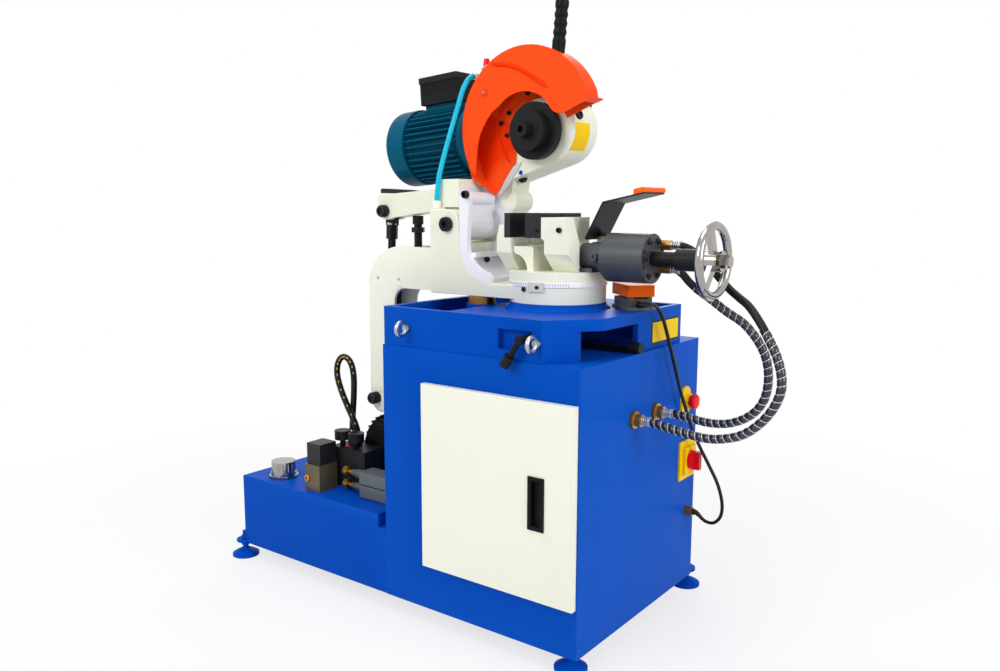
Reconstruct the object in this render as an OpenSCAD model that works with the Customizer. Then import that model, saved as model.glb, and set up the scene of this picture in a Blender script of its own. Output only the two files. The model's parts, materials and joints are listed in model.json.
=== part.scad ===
// Swivel-head cold saw for pipe and bar, with a hydraulic vise and feed, in millimetres.
// +Z is up, X runs along the vise, Y runs along the work, the operator stands at -Y.
// The origin lies on the floor, under the middle of the machine.

/* [Cabinet] */
// Width of the sheet cabinet
cab_w = 580; // [500:5:680]
// Depth of the sheet cabinet
cab_d = 597; // [560:5:700]
// Height of the sheet cabinet above its feet
cab_h = 660; // [560:5:760]
// Thickness of the cabinet and tank sheet
sheet_t = 3; // [2:0.5:4]
// Clear height under the cabinet
foot_h = 43; // [36:1:60]
// Diameter of a levelling foot
foot_d = 78; // [60:1:90]
// Diameter of a foot's stud
stud_d = 16; // [12:1:20]

/* [Oil tank] */
// Length of the oil tank beside the cabinet
tank_l = 588; // [520:5:640]
// Height of the oil tank
tank_h = 210; // [180:5:240]

/* [Door] */
// Width of the cabinet door
door_w = 438; // [380:2:450]
// Height of the cabinet door
door_h = 461; // [400:2:490]
// Thickness of the door pan
door_t = 16; // [12:1:22]
// Height of the door's lower edge above the cabinet floor
door_sill = 119; // [100:1:130]

/* [Tray] */
// Height of the cast tray on the cabinet
tray_h = 97; // [85:1:110]
// Depth of the cast tray
tray_d = 502; // [480:2:520]
// Wall thickness of the cast tray
tray_wall = 14; // [10:1:18]

/* [Swivel] */
// Radius of the swivel table
table_r = 119; // [112:1:122]
// Thickness of the fixed vise table
table_t = 24; // [20:1:30]
// Diameter of the swivel post
post_d = 60; // [50:1:70]
// Thickness of the swivelling disc
disc_t = 42; // [36:1:48]
// Half of the column's width across the hinge
column_half = 104; // [100:1:108]
// Thickness of a hinge ear
ear_t = 40; // [32:1:44]
// Diameter of the head's hinge pin
hinge_d = 30; // [24:1:34]

/* [Head] */
// Outer radius of the saw guard
guard_r = 193; // [188:1:195]
// Sheet thickness of the saw guard
guard_t = 2.5; // [2:0.5:4]
// Width of the saw guard across the blade
guard_w = 52; // [46:1:54]
// Diameter of the blade flange
flange_d = 140; // [120:2:146]
// Diameter of the saw spindle
spindle_d = 40; // [32:1:46]
// Radius of the worm wheel
wheel_r = 62; // [56:0.5:64]
// Radius of the worm
worm_r = 18; // [14:0.5:20]
// Outer radius of the motor's fins
motor_r = 104; // [98:1:108]
// Length of the motor behind its flange
motor_l = 278; // [250:2:300]
// Number of cooling fins round the motor
motor_fins = 36; // [24:2:40]
// Diameter of the feed handle's grip
grip_d = 33; // [28:1:38]

/* [Feed] */
// Outer diameter of the feed cylinder
feed_d = 60; // [50:1:64]
// Diameter of the feed rod
feed_rod_d = 22; // [18:1:24]
// Thickness of a feed bracket plate
plate_t = 12; // [8:1:14]

/* [Vise] */
// Outer diameter of the vise cylinder
cyl_d = 115; // [105:1:120]
// Length of the vise cylinder
cyl_l = 110; // [100:1:118]
// Diameter of the vise rod
rod_d = 36; // [32:1:38]
// Diameter of the vise screw
screw_d = 20; // [16:1:22]
// Diameter of the handwheel
wheel_d = 175; // [150:1:200]
// Diameter of the handwheel's rim
rim_d = 20; // [16:1:24]
// Height of a jaw plate
jaw_h = 59; // [50:1:62]
// Opening between the jaws
jaw_gap = 44; // [40:1:46]

/* [Fits] */
// Clearance between parts that turn or slide
run_gap = 0.3; // [0.3:0.05:0.5]

/* [Hidden] */
$fn = 64;

// Cabinet, tank and tray
cab_x1 = 500;
cab_x0 = cab_x1 - cab_w;
cab_y0 = -315;
cab_y1 = cab_y0 + cab_d;
cab_z1 = foot_h + cab_h;
tank_x0 = cab_x0 - tank_l;
tank_z1 = foot_h + tank_h;
lug_t = 8;
lug_r = 26;
feet_at = [[tank_x0 - 13, cab_y0 + 10], [tank_x0 - 13, cab_y1 - 10], [cab_x1 - 35, cab_y0 + 35], [cab_x1 - 24, cab_y1 + 22]];
notch_w = 29;
notch_h = 35;
notch_d = 60;
cap_at = [tank_x0 + 106, cab_y0 + 67];
filler_d = 44;
tray_x0 = cab_x0 + 3;
tray_x1 = cab_x1 - 10;
tray_y0 = cab_y0 + 3;
tray_y1 = tray_y0 + tray_d;
tray_z1 = cab_z1 + tray_h;
tray_top_t = 12;
chamfer_x = 90;
chamfer_y = 110;
chute_x0 = tray_x1 - 42;
chute_y1 = -42;
chute_z1 = cab_z1 + 70;
pocket_x0 = 279;
pocket_x1 = 372;
pocket_z0 = cab_z1 + 24;
pocket_h = 46;
pocket_deep = 16;

// Swivel stack, from the tray's boss up to the vise table
swivel_x = 275;
swivel_y = -60;
boss_z1 = tray_z1 + 15;
boss_z0 = cab_z1 + 32;
disc_z1 = boss_z1 + disc_t;
ring_t = 10;
ring_r = table_r + 2;
table_z0 = disc_z1 + run_gap + ring_t;
table_z1 = table_z0 + table_t;
arm_lift = 9;
arm_z0 = boss_z1 + arm_lift;
pad_d = 70;
pad_t = 23;
pad_at = [75, -108];
lock_z0 = cab_z1 + 4;
lock_t = 15;
lock_hub_d = 70;
lock_reach = 222;

// Hinge of the head, saw spindle and motor axis
pivot_x = 6;
pivot_z = boss_z1 + 186;
ear_r = 38;
column_x0 = -52;
column_x1 = pivot_x + ear_r + 2;
ear_y0 = swivel_y - column_half;
ear_y1 = swivel_y + column_half;
slot_y0 = ear_y0 + ear_t;
slot_y1 = ear_y1 - ear_t;
hub_gap = 1;
hub_r = 42;
arch_r = 94;
spindle_x = 203;
spindle_z = pivot_z + 229;
blade_y = swivel_y;
guard_y0 = blade_y - guard_w / 2;
guard_y1 = blade_y + guard_w / 2;
case_y0 = guard_y1;
case_y1 = 70;
case_floor_y = case_y0 + 20;
cover_t = 12;
case_tilt = 4;
motor_u = -215;
motor_w = 10;
drive_y = 20;
gear_gap = 0.5;
worm_w = wheel_r + worm_r + gear_gap;
pinion_r = 30;
gear_r = worm_w - motor_w - pinion_r - gear_gap;
cavity_r = wheel_r + 6;
flange_t = 22;
flange_y1 = blade_y + 12;
hub_disc_d = 100;
nut_d = 38;
cowl_l = 68;
motor_core_r = motor_r - 20;
motor_bore_r = 52;

// Feed linkage
feed_y = swivel_y;
lever_pin_x = -283;
lever_pin_z = pivot_z + 32;
feed_pin_x = -308;
feed_pin_z = pivot_z - 499;
lever_half = 30;
clevis_half = 13;
feed_pin_d = 20;
bracket_half = 50;
feed_dx = lever_pin_x - feed_pin_x;
feed_dz = lever_pin_z - feed_pin_z;
feed_len = sqrt(feed_dx * feed_dx + feed_dz * feed_dz);
feed_lean = atan2(feed_dx, feed_dz);
barrel_top = 395;
barrel_floor = 60;
rod_reach = feed_len - 90;
stop_x = -187;
stop_d = 22;

// Vise
vise_z = table_z1 + 36.5;
jaw_y0 = swivel_y - 90;
jaw_y1 = swivel_y + 90;
blade_slot = 12;
jaw_left_x = 193;
jaw_right_x = jaw_left_x + jaw_gap;
plate_left_t = 17;
plate_right_t = 47;
jaw_z0 = table_z1 + 80;
jaw_z1 = jaw_z0 + jaw_h;
slide_gap = 0.4;
pedestal_x0 = jaw_left_x + 5;
pedestal_x1 = pedestal_x0 + 57;
pedestal_h = 59;
carrier_x0 = jaw_right_x + plate_right_t;
hub_x1 = carrier_x0 + 39;
hub_d = 66;
ring_x0 = hub_x1 + 28;
ring_w = 26;
neck_d = 76;
cyl_x0 = ring_x0 + ring_w + 46;
cyl_x1 = cyl_x0 + cyl_l;
cap_t = 14;
cyl_wall = 10;
piston_x0 = cyl_x0 + 47;
piston_w = 25;
collar_w = 8;
rod_x0 = carrier_x0 + 22;
rod_x1 = cyl_x0 + 9;
rod_end_t = 8;
screw_x0 = rod_x0 + 45;
sleeve_d = 34;
sleeve_x1 = cyl_x1 + 62;
wheel_x = cyl_x1 + 147;
hub_l = 44;
wheel_hub_d = 46;
grip_collar_d = 50;
nut_l = 18;
deflector_y0 = -38;
deflector_y1 = 68;
deflector_t = 4;
deflector_pts = [[340, vise_z + 38], [388, vise_z + 126], [494, vise_z + 148]];
deflector_post = [357, 14];
deflector_post_d = 22;

// Switches on the right side
estop_at = [207, cab_z1 - 157];
main_at = [225, cab_z1 - 318];
gland_at = [233, cab_z1 - 463];
bulkhead_at = [[-75, cab_z1 - 154], [38, cab_z1 - 155]];
estop_travel = 5;
switch_at = [440, 22];
switch_turn = -40;
switch_l = 110;
switch_w = 66;
switch_h = 34;

// Hydraulic unit on the tank
manifold = [60, 66, 75];
manifold_at = [-418, -290];
pump_r = 95;
pump_at = [-276, tank_z1 + 104];
pump_y = [-110, 118];
valve_at = [-400, -206];
valve_size = [134, 76, 112];
gauge_at = [[-377, -182], [-322, -182]];
flow_x0 = -240;
flow_x1 = cab_x0 - 12;
flow_y = -226;
flow_z = [tank_z1 + 20, tank_z1 + 57];
flow_knob_x = -322;

// Hose routes, ends square to their fittings
hose_d = 20;
hose_in = [cyl_x1 + 24, -14, vise_z + 30];
hose_low = [cyl_x1 + 24, -14, vise_z - 24];
route_upper = [hose_in, hose_in + [12, 0, 0], [590, -6, 953], [614, 8, 936], [636, 22, 910], [657, 31, 884],
    [684, 26, 860], [714, 9, 844], [745, -10, 828], [778, -30, 798], [806, -46, 764], [828, -56, 730], [842, -64, 694],
    [845, -70, 660], [832, -74, 622], [806, -75, 586], [772, -75, 557], [734, -75, 541], [688, -75, 533], [630, -75, 537],
    [572, -75, 546], [545, -75, bulkhead_at[0][1]], [524, -75, bulkhead_at[0][1]]];
route_lower = [hose_low, hose_low + [10, 0, 0], [582, -2, 890], [592, 12, 872], [612, 20, 854], [636, 27, 837],
    [674, 36, 808], [716, 38, 783], [748, 38, 750], [770, 38, 712], [779, 38, 664], [771, 38, 612], [742, 38, 573],
    [694, 38, 547], [640, 38, 540], [580, 38, 546], [548, 38, bulkhead_at[1][1]], [524, 38, bulkhead_at[1][1]]];
cable_d = 9;
route_cable = [[486.8, -32.8, 817], [494, -38.8, 817], [503, -41, 818], [511, -32, 819], [515, -14, 816],
    [517, 8, 804], [519, 30, 778], [520, 52, 740], [520, 78, 694], [521, 104, 644], [522, 130, 592], [525, 158, 540],
    [530, 188, 484], [542, 214, 430], [564, 229, 378], [588, 234, 330], [602, 235, 282], [600, 235, 244],
    [582, 234, 222], [558, 233, 222], [538, 233, 236], [530, 233, gland_at[1]], [522, 233, gland_at[1]]];
pump_hose_d = 18;
hose_foot_z = tank_z1 + 126;
route_pump = [[-346, -150, hose_foot_z], [-346, -150, 390], [-353, -154, 424], [-378, -158, 472], [-402, -159, 516],
    [-420, -157, 558], [-422, -153, 592], [-410, -148, 613], [-392, -143, 612], [-378, -139, 590], [-373, -137, 552],
    [-375, -137, 500], [-379, -138, 450], [-382, -139, 396], [-382, -139, hose_foot_z]];
coolant_d = 13;
route_coolant = [[6, -46.5, 1378.5], [6, -57, 1378], [4, -73, 1369], [-2, -88, 1343], [-10, -98, 1302],
    [-18, -108, 1260], [-24, -120, 1218], [-31, -135, 1164], [-36, -145, 1122], [-39, -149, 1080],
    [-41, -150, 1052], [-41, -150, pivot_z + ear_r + 0.3]];

// Points on an arc in a plane
function arc(c, r, a0, a1, n = 16) =
    [for (i = [0:n]) [c[0] + r * cos(a0 + (a1 - a0) * i / n), c[1] + r * sin(a0 + (a1 - a0) * i / n)]];

// Box between two corners
module slab(a, b) {
    translate(a) cube(b - a);
}

// Round bar along X, Y or Z between two stations
module bar_x(x0, x1, y, z, d) {
    translate([x0, y, z]) rotate([0, 90, 0]) cylinder(d = d, h = x1 - x0);
}

module bar_y(x, y0, y1, z, d) {
    translate([x, y0, z]) rotate([-90, 0, 0]) cylinder(d = d, h = y1 - y0);
}

module bar_z(x, y, z0, z1, d) {
    translate([x, y, z0]) cylinder(d = d, h = z1 - z0);
}

// Outline in the XZ plane, drawn out along Y
module along_y(y0, y1) {
    rotate([90, 0, 0]) translate([0, 0, -y1]) linear_extrude(y1 - y0) children();
}

// Outline in the YZ plane, drawn out along X
module along_x(x0, x1) {
    translate([x0, 0, 0]) rotate([90, 0, 90]) linear_extrude(x1 - x0) children();
}

// Ring or tube about X
module tube_x(x0, x1, y, z, d, bore) {
    translate([x0, y, z]) rotate([0, 90, 0]) difference() {
        cylinder(d = d, h = x1 - x0);
        translate([0, 0, -1]) cylinder(d = bore, h = x1 - x0 + 2);
    }
}

// Frame of the gear case, tilted about the spindle
module on_case() {
    translate([spindle_x, 0, spindle_z]) rotate([0, -case_tilt, 0]) children();
}

// Frame of the feed cylinder, +Z from the lower pin to the lever pin
module on_feed() {
    translate([feed_pin_x, feed_y, feed_pin_z]) rotate([0, feed_lean, 0]) children();
}

// Tube swept along a route, with its end rings square to the first and last stretch
function unit(v) = v / norm(v);
function heading(p, i) =
    i == 0 ? unit(p[1] - p[0]) : i == len(p) - 1 ? unit(p[i] - p[i - 1]) : unit(p[i + 1] - p[i - 1]);
function side_of(t) = unit(cross(t, abs(t[1]) < 0.9 ? [0, 1, 0] : [1, 0, 0]));
function hose_ring(c, t, r, sides) =
    [for (k = [0:sides - 1]) c + r * (cos(360 * k / sides) * side_of(t)
        + sin(360 * k / sides) * cross(t, side_of(t)))];
module hose(p, d, sides = 10) {
    rings = len(p);
    last = (rings - 1) * sides;
    pts = [for (i = [0:rings - 1]) each hose_ring(p[i], heading(p, i), d / 2, sides)];
    walls = [for (i = [0:rings - 2], k = [0:sides - 1]) each [
        [i * sides + k, i * sides + (k + 1) % sides, (i + 1) * sides + k],
        [i * sides + (k + 1) % sides, (i + 1) * sides + (k + 1) % sides, (i + 1) * sides + k]]];
    near_end = [for (k = [1:sides - 2]) [0, k + 1, k]];
    far_end = [for (k = [1:sides - 2]) [last, last + k, last + k + 1]];
    polyhedron(points = pts, faces = concat(walls, near_end, far_end), convexity = 6);
}

// Base

module foot_hole(at) {
    bar_z(at[0], at[1], foot_h - 1, foot_h + lug_t + 1, stud_d + 2 * run_gap);
}

module foot_lug(at) {
    translate([at[0], at[1], foot_h]) cylinder(r = lug_r, h = lug_t);
}

module cabinet() {
    door_x1 = cab_x1 - 3;
    door_x0 = door_x1 - door_w;
    lip = 20;
    color("royalblue") difference() {
        union() {
            difference() {
                slab([cab_x0, cab_y0, foot_h], [cab_x1, cab_y1, cab_z1]);
                slab([cab_x0 + sheet_t, cab_y0 + sheet_t, foot_h + sheet_t],
                    [cab_x1 - sheet_t, cab_y1 - sheet_t, cab_z1 - sheet_t]);
            }
            intersection() {
                foot_lug(feet_at[2]);
                slab([cab_x0, cab_y0, foot_h], [cab_x1, cab_y1, cab_z1]);
            }
            foot_lug(feet_at[3]);
        }
        slab([door_x0 + lip, cab_y0 - 1, foot_h + door_sill + lip],
            [door_x1 - lip, cab_y0 + sheet_t + 1, foot_h + door_sill + door_h - lip]);
        foot_hole(feet_at[2]);
        foot_hole(feet_at[3]);
    }
}

module oil_tank() {
    color("royalblue") difference() {
        union() {
            difference() {
                slab([tank_x0, cab_y0, foot_h], [cab_x0, cab_y1, tank_z1]);
                slab([tank_x0 + sheet_t, cab_y0 + sheet_t, foot_h + sheet_t],
                    [cab_x0 - notch_w - sheet_t, cab_y1 - sheet_t, tank_z1 - sheet_t]);
            }
            foot_lug(feet_at[0]);
            foot_lug(feet_at[1]);
        }
        slab([cab_x0 - notch_w, cab_y0 - 1, tank_z1 - notch_h], [cab_x0 + 1, cab_y0 + notch_d, tank_z1 + 1]);
        bar_z(cap_at[0], cap_at[1], tank_z1 - sheet_t - 1, tank_z1 + 1, filler_d);
        foot_hole(feet_at[0]);
        foot_hole(feet_at[1]);
    }
}

// Levelling foot: dished disc, stud and two lock nuts
module foot() {
    nut_w = 1.5 * stud_d;
    rotate_extrude() polygon([[0, 0], [foot_d / 2, 0], [foot_d / 2, 7], [foot_d / 2 - 6, 11],
        [stud_d / 2 + 4, 22], [stud_d / 2, 26], [stud_d / 2, foot_h + lug_t + 24], [0, foot_h + lug_t + 24]]);
    translate([0, 0, foot_h - 12]) cylinder(d = nut_w, h = 12 - run_gap, $fn = 6);
    translate([0, 0, foot_h + lug_t + run_gap]) cylinder(d = nut_w, h = 10, $fn = 6);
}

module feet() {
    color("steelblue") for (at = feet_at) translate([at[0], at[1], 0]) foot();
}

module tray_outline(inset) {
    polygon([[tray_x0 + inset, tray_y0 + inset], [tray_x1 - chamfer_x - inset / 2, tray_y0 + inset],
        [tray_x1 - inset, tray_y0 + chamfer_y + inset / 2], [tray_x1 - inset, tray_y1 - inset],
        [tray_x0 + inset, tray_y1 - inset]]);
}

module tray_casting() {
    opening_x1 = swivel_x - table_r - 36;
    rear_pocket_y0 = 84;
    color("royalblue") difference() {
        union() {
            difference() {
                translate([0, 0, cab_z1]) linear_extrude(tray_h) tray_outline(0);
                translate([0, 0, cab_z1 - 1]) linear_extrude(tray_h - tray_top_t + 1) tray_outline(tray_wall);
                slab([tray_x0 + tray_wall + 4, tray_y0 + tray_wall + 4, tray_z1 - tray_top_t - 1],
                    [opening_x1, tray_y1 - tray_wall - 4, tray_z1 + 1]);
                slab([swivel_x + 120, rear_pocket_y0, tray_z1 - tray_top_t - 1],
                    [tray_x1 - tray_wall - 2, tray_y1 - tray_wall - 2, tray_z1 + 1]);
                slab([chute_x0, tray_y0 - 1, cab_z1 - 1], [tray_x1 + 1, chute_y1, chute_z1]);
            }
            translate([swivel_x, swivel_y, 0]) rotate_extrude() polygon([[0, boss_z0], [48, boss_z0],
                [48, tray_z1 - 34], [table_r + 18, tray_z1 - 8], [table_r + 12, tray_z1 + 1],
                [table_r + 4, tray_z1 + 7], [table_r + 1, boss_z1 - run_gap], [0, boss_z1 - run_gap]]);
            bar_z(pad_at[0], pad_at[1], cab_z1, tray_z1, pad_d + 10);
            slab([pocket_x0 - 10, tray_y0 + 2, pocket_z0 - 10],
                [pocket_x1 + 10, tray_y0 + pocket_deep + 10, pocket_z0 + pocket_h + 10]);
        }
        bar_z(swivel_x, swivel_y, boss_z0 - 1, boss_z1 + 1, post_d + 2 * run_gap);
        slab([pocket_x0, tray_y0 - 1, pocket_z0], [pocket_x1, tray_y0 + pocket_deep, pocket_z0 + pocket_h]);
    }
}

// Lifting eye: ring, collar and shank, screwed into the tray's front wall
module eye_bolt() {
    eye_d = 32;
    wire_d = 10;
    translate([0, -eye_d / 2 - 9, 0]) rotate([0, 0, 90]) rotate([90, 0, 0])
        rotate_extrude() translate([eye_d / 2, 0]) circle(d = wire_d);
    bar_y(0, -9, 0, 0, 20);
}

eye_at = [[3, cab_z1 + 48], [tray_x1 - chamfer_x - 12, cab_z1 + 46]];

module eye_bolts() {
    color("gainsboro") for (at = eye_at) translate([at[0], tray_y0, at[1]]) eye_bolt();
}

module slide_pad() {
    color("peru") bar_z(pad_at[0], pad_at[1], tray_z1, arm_z0 - run_gap, pad_d);
}

// Fixed vise table: post, scale ring, round table and the arched work rest
module vise_table() {
    neck_post_d = post_d - 16;
    rest_y0 = jaw_y0 + 10;
    rest_y1 = jaw_y1 - 10;
    arch = 40;
    color("ivory") difference() {
        union() {
            bar_z(swivel_x, swivel_y, cab_z1, boss_z0, neck_post_d);
            bar_z(swivel_x, swivel_y, boss_z0, table_z0, post_d);
            bar_z(swivel_x, swivel_y, table_z0 - ring_t, table_z0, 2 * ring_r);
            bar_z(swivel_x, swivel_y, table_z0, table_z1, 2 * table_r);
            along_y(rest_y0, rest_y1) polygon(concat([[pedestal_x0, table_z1 + pedestal_h],
                [pedestal_x0, table_z1 + arch + 6]],
                arc([pedestal_x0, table_z1 + 1], arch, 82, 0),
                [[pedestal_x0 + arch, table_z1 - 1], [pedestal_x1, table_z1 - 1],
                [pedestal_x1, table_z1 + pedestal_h]]));
        }
        slab([pedestal_x0 - 1, blade_y - blade_slot / 2, table_z1 + 36],
            [pedestal_x1 + 1, blade_y + blade_slot / 2, table_z1 + pedestal_h + 1]);
    }
}

// Slot that lets the blade pass between the front and rear jaws
module jaw_slot(x0, x1) {
    slab([x0, blade_y - blade_slot / 2, table_z1 + 60], [x1, blade_y + blade_slot / 2, jaw_z1 + 1]);
}

// Slanted undercut at the front and back feet of a jaw
module jaw_undercut(x0, x1) {
    slope = 44;
    along_x(x0, x1) polygon([[jaw_y0 - 1, table_z1 - 1], [jaw_y0 + slope, table_z1 - 1], [jaw_y0 - 1, table_z1 + slope]]);
    along_x(x0, x1) polygon([[jaw_y1 + 1, table_z1 - 1], [jaw_y1 - slope, table_z1 - 1], [jaw_y1 + 1, table_z1 + slope]]);
}

module jaw_left() {
    back_x = jaw_left_x - 41;
    web_x = jaw_left_x - plate_left_t;
    color("ivory") difference() {
        along_y(jaw_y0, jaw_y1) polygon([[back_x, table_z1], [jaw_left_x, table_z1], [jaw_left_x, jaw_z0],
            [web_x, jaw_z0], [web_x, jaw_z0 + 30], [back_x + 8, jaw_z0 + 30], [back_x, jaw_z0]]);
        jaw_slot(back_x - 1, jaw_left_x + 1);
        jaw_undercut(back_x - 1, jaw_left_x + 1);
    }
}

// Two jaw plates, one on each side of the blade
module plates(x0, x1) {
    slab([x0, jaw_y0, jaw_z0], [x1, blade_y - blade_slot / 2 - 2, jaw_z1]);
    slab([x0, blade_y + blade_slot / 2 + 2, jaw_z0], [x1, jaw_y1, jaw_z1]);
}

module jaw_left_plates() {
    screw_x = jaw_left_x - 41;
    color("dimgray") {
        plates(jaw_left_x - plate_left_t, jaw_left_x);
        bar_x(screw_x - 24, screw_x, swivel_y, vise_z, 20);
    }
}

// Vise cylinder: foot and ring on the table, neck, barrel and bolted end cap
module vise_cylinder() {
    neck_x0 = ring_x0;
    foot_y = 34;
    bolts = 8;
    color("darkslategray") {
        difference() {
            union() {
                bar_x(ring_x0, ring_x0 + ring_w, swivel_y, vise_z, 64);
                slab([ring_x0 + 4, swivel_y - foot_y, table_z1], [ring_x0 + 40, swivel_y + foot_y, table_z1 + 10]);
                slab([ring_x0 + 6, swivel_y - 20, table_z1], [ring_x0 + ring_w, swivel_y + 20, vise_z]);
                bar_x(ring_x0 + ring_w, cyl_x0, swivel_y, vise_z, neck_d - 6);
                bar_x(cyl_x0 - 22, cyl_x0 - 4, swivel_y, vise_z, neck_d);
                bar_x(cyl_x0, cyl_x1 - cap_t, swivel_y, vise_z, cyl_d);
                bar_x(cyl_x0 - 4, cyl_x0, swivel_y, vise_z, cyl_d - 8);
            }
            bar_x(neck_x0 - 1, cyl_x0 + cyl_wall + 1, swivel_y, vise_z, rod_d + 2 * run_gap);
            bar_x(cyl_x0 + cyl_wall, cyl_x1 - cap_t + 1, swivel_y, vise_z, cyl_d - 2 * cyl_wall);
        }
        difference() {
            bar_x(cyl_x1 - cap_t, cyl_x1, swivel_y, vise_z, cyl_d);
            bar_x(cyl_x1 - cap_t - 1, cyl_x1 + 1, swivel_y, vise_z, sleeve_d + 2 * run_gap);
            for (k = [0:bolts - 1]) translate([cyl_x1, swivel_y, vise_z]) rotate([360 * (k + 0.5) / bolts, 0, 0])
                translate([-6, 0, cyl_d / 2 - 10]) rotate([0, 90, 0]) cylinder(d = 8, h = 7);
        }
    }
}

// Bent plate that turns chips away from the cylinder, with its pad and post
module chip_deflector() {
    p = deflector_pts;
    post = deflector_post;
    t = deflector_t;
    color("dimgray") {
        along_y(deflector_y0, deflector_y1) polygon([p[0], p[1], p[2], p[2] + [0, t], p[1] + [-t, t], p[0] + [-t, t]]);
        bar_z(post[0], post[1], table_z1, p[0][1] + (post[0] - p[0][0]) * 1.0, deflector_post_d);
    }
}

// Coolant tank with its immersion pump, on the cabinet floor
module coolant_unit() {
    x0 = cab_x0 + 40;
    y0 = cab_y0 + 180;
    z0 = foot_h + sheet_t;
    size = [300, 320, 150];
    pump_x = x0 + 80;
    pump_y0 = y0 + 90;
    color("slategray") {
        difference() {
            slab([x0, y0, z0], [x0 + size[0], y0 + size[1], z0 + size[2]]);
            slab([x0 + sheet_t, y0 + sheet_t, z0 + sheet_t],
                [x0 + size[0] - sheet_t, y0 + size[1] - sheet_t, z0 + size[2] - sheet_t]);
        }
        bar_z(pump_x, pump_y0, z0 + size[2], z0 + size[2] + 14, 130);
        bar_z(pump_x, pump_y0, z0 + size[2] + 14, z0 + size[2] + 120, 108);
        bar_z(pump_x, pump_y0, z0 + size[2] + 120, z0 + size[2] + 140, 90);
    }
}

// Back plate with its row of contactors and terminal strip
module electric_panel() {
    x0 = cab_x1 - 400;
    z0 = cab_z1 - 330;
    back_y = cab_y1 - sheet_t;
    color("lightgray") {
        slab([x0, back_y - 6, z0], [x0 + 330, back_y, z0 + 260]);
        for (k = [0:3]) slab([x0 + 24 + 74 * k, back_y - 86, z0 + 140], [x0 + 80 + 74 * k, back_y - 6, z0 + 222]);
        slab([x0 + 24, back_y - 46, z0 + 40], [x0 + 300, back_y - 6, z0 + 76]);
    }
}

// Foot switch standing on the tray, in its own turned frame
module at_switch() {
    translate([switch_at[0], switch_at[1], tray_z1]) rotate([0, 0, switch_turn]) children();
}

module foot_switch_base() {
    wall = 4;
    ear = 12;
    color("slategray") at_switch() difference() {
        union() {
            slab([-switch_l / 2, -switch_w / 2, 0], [switch_l / 2, switch_w / 2, 8]);
            slab([-switch_l / 2 + 4, -switch_w / 2 + 4, 0], [switch_l / 2 - 4, switch_w / 2 - 4, switch_h - 6]);
            slab([switch_l / 2 - 24, -switch_w / 2 + 4, switch_h - 6], [switch_l / 2 - 4, -switch_w / 2 + 4 + ear, switch_h + 12]);
            slab([switch_l / 2 - 24, switch_w / 2 - 4 - ear, switch_h - 6], [switch_l / 2 - 4, switch_w / 2 - 4, switch_h + 12]);
        }
        translate([switch_l / 2 - 14, 0, switch_h + 3]) rotate([90, 0, 0])
            cylinder(d = 8 + 2 * run_gap, h = switch_w, center = true);
        slab([-switch_l / 2 + 4 + wall, -switch_w / 2 + 4 + wall, wall],
            [switch_l / 2 - 30, switch_w / 2 - 4 - wall, switch_h]);
    }
}

module foot_pedal() {
    ear = 12;
    inner = switch_w / 2 - 4 - ear - 1;
    color("orangered") at_switch() {
        difference() {
            slab([-switch_l / 2, -switch_w / 2, switch_h - 1], [switch_l / 2, switch_w / 2, switch_h + 27]);
            slab([-switch_l / 2 + 3, -switch_w / 2 + 3, switch_h - 2], [switch_l / 2 - 3, switch_w / 2 - 3, switch_h + 23]);
        }
        translate([switch_l / 2 - 14, 0, switch_h + 3]) rotate([90, 0, 0]) {
            cylinder(d = 8, h = switch_w - 10, center = true);
            cylinder(d = 14, h = 2 * inner, center = true);
        }
        slab([switch_l / 2 - 18, -inner, switch_h + 3], [switch_l / 2 - 10, inner, switch_h + 24]);
    }
}

// Plates and collars of the emergency stop and the main switch
module switch_plates() {
    color("gold") {
        difference() {
            union() {
                along_x(cab_x1, cab_x1 + 6) {
                    translate([estop_at[0], estop_at[1] + 12]) circle(d = 52);
                    translate([estop_at[0], estop_at[1] - 12]) circle(d = 52);
                    translate([estop_at[0] - 26, estop_at[1] - 12]) square([52, 24]);
                }
                bar_x(cab_x1 + 6, cab_x1 + 16, estop_at[0], estop_at[1], 40);
            }
            bar_x(cab_x1 + 2, cab_x1 + 17, estop_at[0], estop_at[1], 24 + 2 * run_gap);
        }
        difference() {
            union() {
                slab([cab_x1, main_at[0] - 44, main_at[1] - 52], [cab_x1 + 5, main_at[0] + 44, main_at[1] + 52]);
                slab([cab_x1 + 5, main_at[0] - 33, main_at[1] - 36], [cab_x1 + 15, main_at[0] + 33, main_at[1] + 36]);
            }
            bar_x(cab_x1 + 4, cab_x1 + 16, main_at[0], main_at[1], 20 + 2 * run_gap);
        }
    }
}

module estop_button() {
    color("red") translate([cab_x1, estop_at[0], estop_at[1]]) rotate([0, 90, 0]) rotate_extrude()
        polygon(concat([[0, 8], [12, 8], [12, 22], [18, 22]], arc([14, 30], 6, -40, 90, 8), [[0, 38]]));
}

module main_switch_knob() {
    color("red") {
        bar_x(cab_x1 + 6, cab_x1 + 18, main_at[0], main_at[1], 20);
        bar_x(cab_x1 + 15 + run_gap, cab_x1 + 24, main_at[0], main_at[1], 50);
        slab([cab_x1 + 24, main_at[0] - 8, main_at[1] - 24], [cab_x1 + 42, main_at[0] + 8, main_at[1] + 24]);
    }
}

// Bulkhead unions, cable glands and the elbows on the vise cylinder
module hose_fittings() {
    nut = hose_d + 14;
    color("silver") {
        for (at = bulkhead_at) {
            bar_x(cab_x1, cab_x1 + 8, at[0], at[1], nut + 8);
            bar_x(cab_x1 + 8, cab_x1 + 24, at[0], at[1], nut - 4);
        }
        bar_x(cab_x1, cab_x1 + 22, gland_at[0], gland_at[1], 24);
        for (end = [hose_in, hose_low]) bar_x(cyl_x1, end[0], end[1], end[2], hose_d + 4);
        at_switch() bar_x(switch_l / 2 - 4, switch_l / 2 + 16, -12, 17, 16);
    }
}

// Hydraulic unit

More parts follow.
